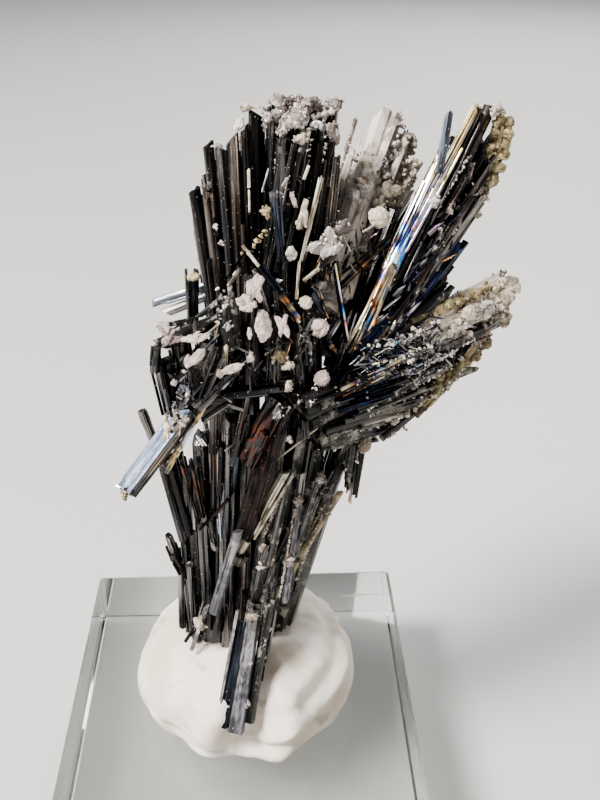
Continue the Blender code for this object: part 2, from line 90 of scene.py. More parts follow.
class Board:
    """A node tree, with short ways to add nodes and join them."""

    def __init__(self, tree: bpy.types.NodeTree) -> None:
        """Work on a tree.

        Args:
            tree: the material's or the group's node tree.
        """
        self.tree = tree

    def node(self, kind: str, inputs: dict | None = None, **settings: object) -> bpy.types.Node:
        """Add a node.

        Args:
            kind: the node's type name.
            inputs: a socket to link or a value to set, for each input by name or number.
            settings: the node's own properties.

        Returns:
            The new node.
        """
        node = self.tree.nodes.new(kind)
        for name, value in settings.items():
            setattr(node, name, value)
        self.feed(node, inputs or {})
        return node

    def feed(self, node: bpy.types.Node, inputs: dict) -> None:
        """Link a socket to each named input of a node, or set its value."""
        for key, value in inputs.items():
            if isinstance(value, bpy.types.NodeSocket):
                self.tree.links.new(value, node.inputs[key])
            else:
                node.inputs[key].default_value = value

    def math(self, operation: str, *values: object, clamp: bool = False) -> bpy.types.NodeSocket:
        """Work out one number from others.

        Args:
            operation: the Math node's operation.
            values: its inputs, as sockets or numbers.
            clamp: whether the result is kept from 0 to 1.

        Returns:
            The result's socket.
        """
        inputs = dict(enumerate(values))
        return self.node("ShaderNodeMath", inputs, operation=operation, use_clamp=clamp).outputs[0]

    def mix(self, factor: object, first: object, second: object,
            blend: str = "MIX") -> bpy.types.NodeSocket:
        """Blend two colours.

        Args:
            factor: how much of the second colour.
            first: the colour at 0.
            second: the colour at 1.
            blend: the way they are blended.

        Returns:
            The blended colour's socket.
        """
        inputs = {0: factor, 6: rgba(first), 7: rgba(second)}
        return self.node("ShaderNodeMix", inputs, data_type="RGBA", blend_type=blend).outputs[2]

    def ramp(self, place: object, bands: Bands) -> bpy.types.NodeSocket:
        """Read a colour from a row of bands.

        Args:
            place: where along the bands, from 0 to 1.
            bands: each band's place and colour.

        Returns:
            The colour's socket.
        """
        node = self.node("ShaderNodeValToRGB", {0: place})
        elements = node.color_ramp.elements
        while len(elements) < len(bands):
            elements.new(1.0)
        for element, (position, colour) in zip(elements, bands):
            element.position = position
            element.color = rgba(colour)
        return node.outputs[0]

    def step(self, value: object, low: float, high: float) -> bpy.types.NodeSocket:
        """A smooth step from 0 at low to 1 at high."""
        inputs = {0: value, 1: low, 2: high}
        return self.node("ShaderNodeMapRange", inputs, interpolation_type="SMOOTHSTEP").outputs[0]

    def noise(self, vector: object, scale: float, detail: float = 2.0) -> bpy.types.NodeSocket:
        """Cloudy noise from 0 to 1 on a vector, with its scale in features per unit."""
        inputs = {"Vector": vector, "Scale": scale, "Detail": detail}
        return self.node("ShaderNodeTexNoise", inputs).outputs[0]

    def stretch(self, vector: object, scale: Point) -> bpy.types.NodeSocket:
        """A vector scaled along each axis."""
        return self.node("ShaderNodeMapping", {"Vector": vector, "Scale": scale}).outputs[0]

    def group(self, tree: bpy.types.NodeTree, inputs: dict) -> bpy.types.Node:
        """Place a shared effect with its own values."""
        return self.node("ShaderNodeGroup", inputs, node_tree=tree)

    def place(self) -> bpy.types.NodeSocket:
        """The place on the object, in metres."""
        return self.node("ShaderNodeTexCoord").outputs["Object"]

    def parts(self, colour: object) -> bpy.types.bpy_prop_collection:
        """The red, green and blue of a colour, as sockets."""
        return self.node("ShaderNodeSeparateColor", {0: colour}).outputs

    def marks(self) -> bpy.types.bpy_prop_collection:
        """The marks that each copy of a master shape carries, as sockets."""
        return self.parts(self.node("ShaderNodeAttribute", attribute_name=MARKS_NAME).outputs["Color"])

    def dim(self, colour: object, bright: bpy.types.NodeSocket) -> bpy.types.NodeSocket:
        """A colour made darker or brighter by a number."""
        grey = self.node("ShaderNodeCombineXYZ", {0: bright, 1: bright, 2: bright}).outputs[0]
        return self.mix(1.0, colour, grey, "MULTIPLY")

    def bump(self, height: bpy.types.NodeSocket, strength: float, depth: float) -> bpy.types.NodeSocket:
        """A normal raised by a height, with its depth in mm."""
        inputs = {"Height": height, "Strength": strength, "Distance": depth * MM}
        return self.node("ShaderNodeBump", inputs).outputs[0]


def rgba(colour: object) -> object:
    """A colour with its alpha added; a socket is handed back as it is."""
    if isinstance(colour, tuple) and len(colour) == 3:
        return (*colour, 1.0)
    return colour


class Effects:
    """The shader node groups that more than one finish uses."""

    def __init__(self) -> None:
        """Build each group once."""
        self.striae = self._striae()
        self.dust = self._dust()
        self.grain = self._grain()

    @staticmethod
    def _open(name: str, inputs: tuple,
              outputs: tuple) -> tuple[Board, bpy.types.Node, bpy.types.Node]:
        """Start a group with its sockets.

        Args:
            name: the group's name.
            inputs: each input's name, and whether it is a vector.
            outputs: each output's name.

        Returns:
            The board of the group, its input node and its output node.
        """
        tree = bpy.data.node_groups.new(name, "ShaderNodeTree")
        for label, vector in inputs:
            kind = "NodeSocketVector" if vector else "NodeSocketFloat"
            tree.interface.new_socket(label, in_out="INPUT", socket_type=kind)
        for label in outputs:
            tree.interface.new_socket(label, in_out="OUTPUT", socket_type="NodeSocketFloat")
        board = Board(tree)
        return board, board.node("NodeGroupInput"), board.node("NodeGroupOutput")

    def _striae(self) -> bpy.types.NodeTree:
        """Fine lines that run along a crystal, from its own surface map in mm; the crystal finish paints
        its Line mask brighter as painted highlight lines.
        """
        board, given, made = self._open("crystal_striae", (("Surface", True), ("Fineness", False)),
                                        ("Height", "Line"))
        split = board.node("ShaderNodeSeparateXYZ", {0: given.outputs["Surface"]})
        across = board.math("MULTIPLY", split.outputs[0], given.outputs["Fineness"])
        heights = []
        for fineness, lengthwise, shift in ((1.0, 0.16, 0.0), (3.7, 0.4, 31.0)):
            vector = board.node("ShaderNodeCombineXYZ", {
                0: board.math("MULTIPLY", across, fineness),
                1: board.math("MULTIPLY_ADD", split.outputs[1], lengthwise, shift)})
            heights.append(board.noise(vector.outputs[0], 1.0, 1.0))
        height = board.math("MULTIPLY_ADD", heights[1], 0.45, heights[0])
        board.feed(made, {"Height": height, "Line": board.step(height, 0.58, 0.86)})
        return board.tree

    def _dust(self) -> bpy.types.NodeTree:
        """Powder and specks of other minerals, thicker on faces that look up."""
        inputs = (("Place", True), ("Film", False), ("Specks", False))
        board, given, made = self._open("mineral_dust", inputs, ("Mask", "Height"))
        place = given.outputs["Place"]
        normal = board.node("ShaderNodeNewGeometry").outputs["Normal"]
        up = board.node("ShaderNodeSeparateXYZ", {0: normal})
        cloud = board.noise(place, 900.0, 6.0)
        grit = board.noise(place, 4200.0, 3.0)
        film = board.math("MULTIPLY_ADD", up.outputs[2], 0.05, given.outputs["Film"])
        film = board.math("ADD", film, board.math("MULTIPLY_ADD", grit, 0.35, -0.17))
        film = board.step(board.math("ADD", cloud, film), 0.60, 0.72)
        specks = board.math("ADD", board.noise(place, 6500.0, 1.0), given.outputs["Specks"])
        mask = board.math("MAXIMUM", film, board.step(specks, 0.74, 0.78))
        board.feed(made, {"Mask": mask, "Height": board.math("MULTIPLY", mask, grit)})
        return board.tree

    def _grain(self) -> bpy.types.NodeTree:
        """A sugary surface of small facets, each with its own brightness."""
        board, given, made = self._open("sugar_grain", (("Place", True), ("Scale", False)),
                                        ("Height", "Facet"))
        inputs = {"Vector": given.outputs["Place"], "Scale": given.outputs["Scale"]}
        cells = board.node("ShaderNodeTexVoronoi", inputs)
        facet = board.parts(cells.outputs["Color"])[0]
        board.feed(made, {"Height": cells.outputs["Distance"], "Facet": facet})
        return board.tree


# ------------------------------------------------------------------------------------- finishes

@dataclass(frozen=True)
class Finish:
    """How a surface looks; each kind wires its own Principled shader."""

    name: str

    def make(self, effects: Effects) -> bpy.types.Material:
        """Make the finish's material.

        Args:
            effects: the shared node groups.

        Returns:
            The material.
        """
        material = bpy.data.materials.new(self.name)
        material.use_nodes = True
        board = Board(material.node_tree)
        board.feed(material.node_tree.nodes["Principled BSDF"], self.wire(board, effects))
        return material

    def wire(self, board: Board, effects: Effects) -> dict:
        """Work out what goes into the shader.

        Args:
            board: the board on the material's tree.
            effects: the shared node groups.

        Returns:
            A socket or a value for each of the shader's inputs.
        """
        raise NotImplementedError


@dataclass(frozen=True)
class CrystalFinish(Finish):
    """Stibnite in one of its coats: bands of colour along the crystal, striae with painted highlight
    lines, and dust.
    """

    bands: Bands
    wander: float = 0.15           # how far the bands shift from crystal to crystal
    patches: float = 0.25          # how far they shift from place to place
    tone: tuple[float, float] = (0.5, 1.7)   # the darkest and the brightest crystal
    metallic: float = 0.95
    roughness: float = 0.15
    fineness: float = 5.0          # striae per mm
    depth: float = 0.55
    film: float = -0.10            # how far dust covers it, with 0 for about a tenth
    specks: float = 0.0
    gloom: float = 0.0             # how much of it stays near black
    painted_glint: float = 0.8             # painted highlight: how much brighter its raised striae lines are painted
    dust_colour: Colour = (0.36, 0.32, 0.29)

    def wire(self, board: Board, effects: Effects) -> dict:
        """Shift the bands by the crystal's marks and striae, paint the raised lines brighter as painted
        highlights, then lay the dust on them.

        Args:
            board: the board on the material's tree.
            effects: the shared node groups.

        Returns:
            The shader's inputs.
        """
        surface = board.node("ShaderNodeUVMap", uv_map=UV_NAME).outputs[0]
        along, tone, hue = board.marks()[:3]
        striae = board.group(effects.striae, {"Surface": surface, "Fineness": self.fineness}).outputs
        powder = board.group(effects.dust, {"Place": board.place(), "Film": self.film,
                                            "Specks": self.specks}).outputs
        patch = board.noise(board.stretch(surface, (2.6, 0.9, 1.0)), 1.0, 3.0)
        shift = along
        for source, reach, start in ((hue, self.wander, -0.5 * self.wander),
                                     (patch, self.patches, -0.5 * self.patches),
                                     (striae["Height"], 0.10, -0.07)):
            shift = board.math("ADD", shift, board.math("MULTIPLY_ADD", source, reach, start))
        colour = board.ramp(shift, self.bands)
        low, high = self.tone
        bright = board.math("MULTIPLY_ADD", board.math("POWER", tone, 2.0), high - low, low)
        # Painted highlight: the raised striae lines are painted brighter, standing in for glints along
        # the crystal.
        raised = board.math("MULTIPLY_ADD", striae["Line"], self.painted_glint, 0.7)
        bright = board.math("MULTIPLY", bright, raised)
        if self.gloom:
            shade = board.noise(board.stretch(surface, (3.1, 0.5, 1.0)), 1.0, 4.0)
            shade = board.step(shade, self.gloom - 0.06, self.gloom + 0.06)
            bright = board.math("MULTIPLY", bright, board.math("MULTIPLY_ADD", shade, 0.92, 0.08))
        mask = powder["Mask"]
        rough = board.math("MULTIPLY_ADD", striae["Line"], 0.10, self.roughness)
        height = board.math("MULTIPLY_ADD", powder["Height"], 0.5, striae["Height"])
        return {"Base Color": board.mix(mask, board.dim(colour, bright), self.dust_colour),
                "Roughness": board.math("MULTIPLY_ADD", mask, 0.5, rough, clamp=True),
                "Metallic": board.math("MULTIPLY_ADD", mask, -self.metallic, self.metallic),
                "Normal": board.bump(height, self.depth, 0.05)}


@dataclass(frozen=True)
class QuartzFinish(Finish):
    """A druse of tiny quartz crystals, tinted by what grew with it, with its dark lumps and points as
    painted shade and its bright facets partly painted sparkle.
    """

    pale: Colour
    deep: Colour
    roughness: float = 0.20
    scale: float = 3400.0          # facets per metre
    ior: float = 1.54

    def wire(self, board: Board, effects: Effects) -> dict:
        """Stain the druse, darken low-marked copies as painted shade and give each facet its own
        brightness, partly as painted sparkle.

        Args:
            board: the board on the material's tree.
            effects: the shared node groups.

        Returns:
            The shader's inputs.
        """
        place, tone = board.place(), board.marks()[0]
        grain = board.group(effects.grain, {"Place": place, "Scale": self.scale}).outputs
        # Low marks, which the lumps under the points carry, give a deeper colour: painted shade in the
        # gaps between the points; the noise is a real stain.
        stain_and_shade = board.math("MULTIPLY_ADD", tone, -0.5, 0.25)
        stain_and_shade = board.math("ADD", board.noise(place, 800.0, 4.0), stain_and_shade)
        colour = board.mix(board.step(stain_and_shade, 0.35, 0.70), self.pale, self.deep)
        # Each facet and copy gets its own brightness: partly real tone, partly painted sparkle on bright
        # ones and painted shade on dark ones.
        facet = board.math("MULTIPLY_ADD", grain["Facet"], 0.35, 0.80)
        facet = board.math("MULTIPLY", facet, board.math("MULTIPLY_ADD", tone, 0.60, 0.52))
        return {"Base Color": board.dim(colour, facet),
                "Roughness": board.math("MULTIPLY_ADD", grain["Facet"], 0.35, self.roughness),
                "Normal": board.bump(grain["Height"], 0.6, 0.06),
                "IOR": self.ior}


@dataclass(frozen=True)
class PuttyFinish(Finish):
    """Warm white mounting putty, matte, with grey smudges left by handling."""

    name: str = "mounting_putty"
    pale: Colour = (0.86, 0.81, 0.74)
    warm: Colour = (0.74, 0.63, 0.52)
    smudge: Colour = (0.42, 0.37, 0.33)
    glow: Colour = (0.0012, 0.0008, 0.0005)    # metres that each colour of light travels inside

    def wire(self, board: Board, effects: Effects) -> dict:
        """Warm it in patches, smudge it and roughen it.

        Args:
            board: the board on the material's tree.
            effects: the shared node groups.

        Returns:
            The shader's inputs.
        """
        place = board.place()
        grain = board.group(effects.grain, {"Place": place, "Scale": 6000.0}).outputs
        warmth = board.step(board.noise(place, 260.0, 3.0), 0.42, 0.68)
        dirty = board.step(board.noise(board.stretch(place, (1.0, 1.0, 1.6)), 420.0, 5.0), 0.60, 0.72)
        colour = board.mix(warmth, self.pale, self.warm)
        colour = board.mix(board.math("MULTIPLY", dirty, 0.55), colour, self.smudge)
        soft = board.noise(place, 900.0, 4.0)
        height = board.math("MULTIPLY_ADD", grain["Height"], 0.15, soft)
        return {"Base Color": colour, "Roughness": board.math("MULTIPLY_ADD", soft, 0.25, 0.48),
                "Normal": board.bump(height, 0.35, 0.15), "Subsurface Weight": 0.15,
                "Subsurface Radius": self.glow, "Subsurface Scale": 1.0}


@dataclass(frozen=True)
class AcrylicFinish(Finish):
    """Clear cast acrylic with polished faces and a few hairline scratches."""

    name: str = "clear_acrylic"
    colour: Colour = (0.97, 0.985, 0.98)
    ior: float = 1.49

    def wire(self, board: Board, effects: Effects) -> dict:
        """Let light through, with haze and scratches in the polish.

        Args:
            board: the board on the material's tree.
            effects: the shared node groups, which it has no use for.

        Returns:
            The shader's inputs.
        """
        place = board.place()
        haze = board.noise(place, 180.0, 3.0)
        scratch = board.noise(board.stretch(place, (90.0, 2400.0, 600.0)), 1.0, 2.0)
        rough = board.math("MULTIPLY_ADD", board.step(scratch, 0.66, 0.72), 0.10, 0.015)
        rough = board.math("MULTIPLY_ADD", haze, 0.04, rough)
        return {"Base Color": rgba(self.colour), "Roughness": rough, "Transmission Weight": 1.0,
                "IOR": self.ior}


@dataclass(frozen=True)
class FloorFinish(Finish):
    """A plain pale studio floor."""

    name: str = "studio_floor"
    colour: Colour = (0.62, 0.62, 0.61)

    def wire(self, board: Board, effects: Effects) -> dict:
        """Leave it plain, with a faint cloud in its roughness.

        Args:
            board: the board on the material's tree.
            effects: the shared node groups, which it has no use for.

        Returns:
            The shader's inputs.
        """
        cloud = board.math("MULTIPLY_ADD", board.noise(board.place(), 30.0, 2.0), 0.06, 0.52)
        return {"Base Color": rgba(self.colour), "Roughness": cloud}


INK = (0.032, 0.031, 0.032)
SOOT = (0.072, 0.067, 0.064)
UMBER = (0.048, 0.024, 0.018)
RUST = (0.095, 0.032, 0.018)
GLEAM = (0.36, 0.41, 0.50)
CREAM = (0.80, 0.70, 0.52)
STRAW = (0.78, 0.60, 0.30)
COPPER = (0.66, 0.30, 0.12)
ROSE = (0.62, 0.42, 0.40)
COBALT = (0.03, 0.08, 0.34)
AZURE = (0.12, 0.42, 0.80)
SILVER = (0.80, 0.79, 0.86)


class Coat(Enum):
    """The coats that the spray's crystals wear."""

    BLACK = CrystalFinish("black_stibnite", (
        (0.0, INK), (0.5, (0.026, 0.026, 0.027)), (1.0, SOOT)), wander=0.8, patches=0.6,
        tone=(0.4, 2.5), depth=0.75, painted_glint=1.7, specks=0.015, dust_colour=(0.46, 0.42, 0.38))
    SMOKE = CrystalFinish("smoky_stibnite", (
        (0.0, INK), (0.35, (0.05, 0.036, 0.03)), (0.55, SOOT), (0.8, (0.105, 0.085, 0.072)),
        (1.0, INK)), wander=0.7, patches=0.7, depth=0.75, painted_glint=2.2, specks=0.015)
    RUSSET = CrystalFinish("russet_stibnite", (
        (0.0, INK), (0.3, UMBER), (0.45, INK), (0.6, RUST), (0.7, INK), (0.85, UMBER), (1.0, INK)),
        wander=0.6, patches=1.0, gloom=0.48)
    STEEL = CrystalFinish("bright_stibnite", (
        (0.0, (0.26, 0.28, 0.33)), (0.4, GLEAM), (0.6, (0.3, 0.33, 0.39)), (1.0, (0.42, 0.45, 0.52))),
        tone=(0.8, 1.2), roughness=0.16, patches=0.8, film=-0.16)
    MIRROR = CrystalFinish("mirror_stibnite", (
        (0.0, (0.24, 0.25, 0.3)), (0.25, (0.38, 0.41, 0.49)), (0.4, (0.18, 0.21, 0.28)),
        (0.55, (0.33, 0.37, 0.45)), (0.7, (0.24, 0.27, 0.34)), (0.85, (0.37, 0.39, 0.46)),
        (1.0, (0.2, 0.22, 0.28))), tone=(0.9, 1.1), roughness=0.17, patches=1.6, film=-0.14, depth=0.14,
        fineness=2.5)
    DUSK = CrystalFinish("blue_grey_stibnite", (
        (0.0, (0.03, 0.034, 0.044)), (0.4, (0.09, 0.105, 0.14)), (0.7, (0.04, 0.045, 0.06)),
        (1.0, (0.15, 0.175, 0.24))), wander=0.6, patches=0.6, tone=(0.5, 1.4))
    BLUE = CrystalFinish("blue_stibnite", (
        (0.0, (0.012, 0.013, 0.022)), (0.3, (0.018, 0.026, 0.065)), (0.42, INK),
        (0.55, (0.03, 0.06, 0.15)), (0.62, (0.02, 0.02, 0.03)), (0.75, (0.055, 0.04, 0.08)),
        (0.85, (0.014, 0.02, 0.05)), (1.0, (0.05, 0.05, 0.06))), wander=0.8, patches=0.8,
        tone=(0.5, 1.8), gloom=0.47)
    RAINBOW = CrystalFinish("iridescent_stibnite", (
        (0.0, (0.4, 0.34, 0.26)), (0.07, CREAM), (0.15, (0.6, 0.55, 0.38)), (0.21, COPPER),
        (0.26, COBALT), (0.31, ROSE), (0.37, (0.45, 0.7, 0.85)), (0.42, AZURE), (0.47, COBALT),
        (0.51, (0.05, 0.05, 0.09)), (0.55, ROSE), (0.6, (0.5, 0.5, 0.74)), (0.66, SILVER),
        (0.76, (0.84, 0.8, 0.78)), (0.84, STRAW), (0.92, CREAM), (1.0, STRAW)), wander=0.05,
        patches=0.24, tone=(0.75, 1.05), metallic=0.8, roughness=0.2, film=-0.08, gloom=0.41, painted_glint=1.2)
    EMBER = CrystalFinish("copper_stibnite", (
        (0.0, INK), (0.2, (0.3, 0.14, 0.06)), (0.35, INK), (0.5, (0.42, 0.32, 0.22)),
        (0.62, (0.04, 0.04, 0.07)), (0.75, (0.08, 0.2, 0.38)), (0.85, COPPER), (1.0, CREAM)),
        wander=0.4, patches=0.5, tone=(0.6, 1.2), roughness=0.2, gloom=0.46)
    PALE = CrystalFinish("cream_stibnite", (
        (0.0, (0.24, 0.19, 0.13)), (0.2, (0.62, 0.53, 0.4)), (0.5, (0.8, 0.74, 0.63)),
        (0.7, (0.46, 0.37, 0.26)), (0.85, (0.74, 0.64, 0.46)), (1.0, (0.8, 0.75, 0.66))),
        tone=(0.7, 1.0), metallic=0.3, roughness=0.28, wander=0.5, patches=0.6, gloom=0.44)
    GILT = CrystalFinish("gilt_stibnite", (
        (0.0, INK), (0.1, SILVER), (0.2, INK), (0.32, STRAW), (0.42, INK), (0.5, CREAM),
        (0.6, (0.1, 0.07, 0.05)), (0.7, SILVER), (0.8, INK), (0.9, STRAW), (1.0, INK)), tone=(0.8, 1.1),
        metallic=0.7, roughness=0.2, wander=0.5, patches=0.9)
    LILAC = CrystalFinish("silky_stibnite", (
        (0.0, (0.12, 0.12, 0.13)), (0.25, (0.3, 0.29, 0.32)), (0.45, (0.09, 0.09, 0.1)),
        (0.65, (0.38, 0.37, 0.39)), (0.85, (0.16, 0.155, 0.16)), (1.0, (0.27, 0.25, 0.235))),
        tone=(0.7, 1.1), metallic=0.6, roughness=0.34, film=-0.05, patches=1.3, wander=0.5)
    GRIMY = CrystalFinish("dusty_stibnite", (
        (0.0, (0.04, 0.04, 0.039)), (0.4, (0.082, 0.081, 0.077)), (0.7, (0.043, 0.042, 0.041)),
        (1.0, (0.115, 0.112, 0.105))), wander=0.6, patches=0.8, metallic=0.8, roughness=0.22, film=0.05,
        specks=0.03, dust_colour=(0.3, 0.28, 0.25))
    COATED = CrystalFinish("quartz_coated_stibnite", (
        (0.0, (0.32, 0.285, 0.26)), (0.5, (0.54, 0.49, 0.45)), (1.0, (0.38, 0.34, 0.31))),
        tone=(0.6, 1.2), metallic=0.1, roughness=0.4, film=0.12, depth=0.9, specks=0.05, patches=1.2,
        dust_colour=(0.68, 0.61, 0.54))
    SHELL = CrystalFinish("shell_coated_stibnite", (
        (0.0, (0.58, 0.52, 0.46)), (0.3, (0.84, 0.78, 0.7)), (0.5, (0.42, 0.37, 0.32)),
        (0.7, (0.8, 0.74, 0.65)), (1.0, (0.88, 0.8, 0.66))), tone=(0.8, 1.1), metallic=0.05,
        roughness=0.5, film=0.05, depth=0.9, specks=0.04, wander=0.8, patches=1.4,
        dust_colour=(0.84, 0.78, 0.68))
    OCHRE = CrystalFinish("ochre_stibnite", (
        (0.0, (0.09, 0.07, 0.045)), (1.0, (0.3, 0.24, 0.15))), tone=(0.6, 1.2), metallic=0.3,
        roughness=0.4, film=0.1, depth=0.9, specks=0.05, dust_colour=(0.52, 0.43, 0.27))


class Tint(Enum):
    """The tints of the quartz and of the crusts that grew with it."""

    GREY = QuartzFinish("grey_druse", (0.58, 0.51, 0.475), (0.20, 0.16, 0.145), roughness=0.08)
    WHITE = QuartzFinish("white_druse", (0.90, 0.86, 0.83), (0.52, 0.46, 0.43), roughness=0.08)
    PINK = QuartzFinish("blush_crust", (0.56, 0.465, 0.43), (0.32, 0.255, 0.235), roughness=0.34)
    BEIGE = QuartzFinish("beige_druse", (0.88, 0.79, 0.66), (0.46, 0.385, 0.30), roughness=0.12)
    OCHRE = QuartzFinish("ochre_crust", (0.56, 0.475, 0.28), (0.27, 0.21, 0.115), roughness=0.3)


class Paintbox:
    """Makes each finish's material once and hands it out."""

    def __init__(self) -> None:
        """Start with the shared effects and no materials."""
        self.effects = Effects()
        self.made: dict[str, bpy.types.Material] = {}

    def material(self, finish: Finish) -> bpy.types.Material:
        """The material of a finish.

        Args:
            finish: the finish.

        Returns:
            Its material, made on first use.
        """
        if finish.name not in self.made:
            self.made[finish.name] = finish.make(self.effects)
        return self.made[finish.name]


# ------------------------------------------------------------------------- modelling and copying

class Bench:
    """A mesh on the bench: a primitive that is being shaped in edit mode."""

    def __init__(self, name: str, add: Callable[..., object], **sizes: object) -> None:
        """Add a primitive and open it for editing.

        Args:
            name: the object's name.
            add: the operator that adds the primitive.
            sizes: the operator's values.
        """
        bpy.ops.object.select_all(action="DESELECT")
        add(**sizes)
        self.object = bpy.context.object
        self.object.name = name
        bpy.ops.object.transform_apply(location=True, rotation=True, scale=True)
        bpy.ops.object.mode_set(mode="EDIT")

    def points(self, test: Callable[[Vector], bool]) -> None:
        """Select only the points that pass a test on their place."""
        self._pick("VERT", lambda mesh: [(vert, test(vert.co)) for vert in mesh.verts])

    def faces(self, test: Callable[[Vector, Vector], bool]) -> None:
        """Select only the faces that pass a test on their middle and their normal."""
        self._pick("FACE", lambda mesh: [(face, test(face.calc_center_median(), face.normal))
                                         for face in mesh.faces])

    def edges(self, test: Callable[[Vector, Vector], bool]) -> None:
        """Select only the edges that pass a test on their two ends."""
        self._pick("EDGE", lambda mesh: [(edge, test(edge.verts[0].co, edge.verts[1].co))
                                         for edge in mesh.edges])

    def _pick(self, mode: str, choose: Callable) -> None:
        """Clear the selection, then select what was chosen."""
        bpy.ops.mesh.select_mode(type=mode)
        bpy.ops.mesh.select_all(action="DESELECT")
        mesh = bmesh.from_edit_mesh(self.object.data)
        mesh.normal_update()
        for element, chosen in choose(mesh):
            if chosen:
                element.select_set(True)
        mesh.select_flush_mode()
        bmesh.update_edit_mesh(self.object.data)

    def cut(self, point: Point, normal: Point, clear: bool = False) -> None:
        """Cut the whole mesh by a plane.

        Args:
            point: a point on the plane.
            normal: the plane's normal.
            clear: whether what the normal points to is cut away and the hole filled.
        """
        bpy.ops.mesh.select_all(action="SELECT")
        bpy.ops.mesh.bisect(plane_co=point, plane_no=normal, clear_outer=clear, use_fill=clear)

    def rings(self, heights: tuple[float, ...]) -> None:
        """Cut a ring round the mesh at each height."""
        for height in heights:
            self.cut((0.0, 0.0, height), UP)

    def scale(self, value: Point) -> None:
        """Scale what is selected from the axis."""
        bpy.ops.transform.resize(value=value, center_override=ORIGIN)

    def extrude(self, move: Point) -> None:
        """Extrude what is selected by a step."""
        bpy.ops.mesh.extrude_region_move(TRANSFORM_OT_translate={"value": move})

    def close(self) -> bpy.types.Object:
        """Leave edit mode, with the faces turned outwards.

        Returns:
            The shaped object.
        """
        bpy.ops.mesh.select_all(action="SELECT")
        bpy.ops.mesh.normals_make_consistent(inside=False)
        bpy.ops.object.mode_set(mode="OBJECT")
        return self.object


def apply_modifier(obj: bpy.types.Object, kind: str, **values: object) -> None:
    """Add a modifier and apply it.

    Args:
        obj: the object, which becomes the only selected one.
        kind: the modifier's type.
        values: its settings.
    """
    bpy.ops.object.select_all(action="DESELECT")
    obj.select_set(True)
    bpy.context.view_layer.objects.active = obj
    modifier = obj.modifiers.new(kind.title(), kind)
    for name, value in values.items():
        setattr(modifier, name, value)
    bpy.ops.object.modifier_apply(modifier=modifier.name)


def clouds(name: str, size: float, depth: int = 2) -> bpy.types.Texture:
    """A procedural cloud texture for displacing a surface."""
    texture = bpy.data.textures.new(name, "CLOUDS")
    texture.noise_scale = size
    texture.noise_depth = depth
    return texture


END_FACING = 0.8          # how squarely a face looks along the axis to count as an end
FRONT_FACING = 0.6        # how squarely it looks forward to count as the broad front


@dataclass(frozen=True)
class Cast:
    """A master shape as arrays, ready to be copied."""

    points: np.ndarray      # one row a point
    corners: np.ndarray     # the point of each face corner
    sides: np.ndarray       # how many corners each face has
    normals: np.ndarray     # one row a face
    across: np.ndarray      # for each corner, the way its face runs across the shape's axis

    @classmethod
    def of(cls, obj: bpy.types.Object) -> "Cast":
        """Read a master shape and clear it away.

        Args:
            obj: the modelled object.

        Returns:
            Its arrays.
        """
        mesh = obj.data
        points = np.empty(len(mesh.vertices) * 3)
        mesh.vertices.foreach_get("co", points)
        corners = np.empty(len(mesh.loops), dtype=np.int64)
        mesh.loops.foreach_get("vertex_index", corners)
        sides = np.empty(len(mesh.polygons), dtype=np.int64)
        mesh.polygons.foreach_get("loop_total", sides)
        normals = np.empty(len(mesh.polygons) * 3)
        mesh.polygons.foreach_get("normal", normals)
        normals = normals.reshape(-1, 3)
        across = np.stack((-normals[:, 1], normals[:, 0]), axis=1)
        across /= np.maximum(np.linalg.norm(across, axis=1, keepdims=True), 1e-6)
        across[np.abs(normals[:, 2]) > END_FACING] = 0.0
        bpy.data.objects.remove(obj)
        return cls(points.reshape(-1, 3), corners, sides, normals, np.repeat(across, sides, axis=0))


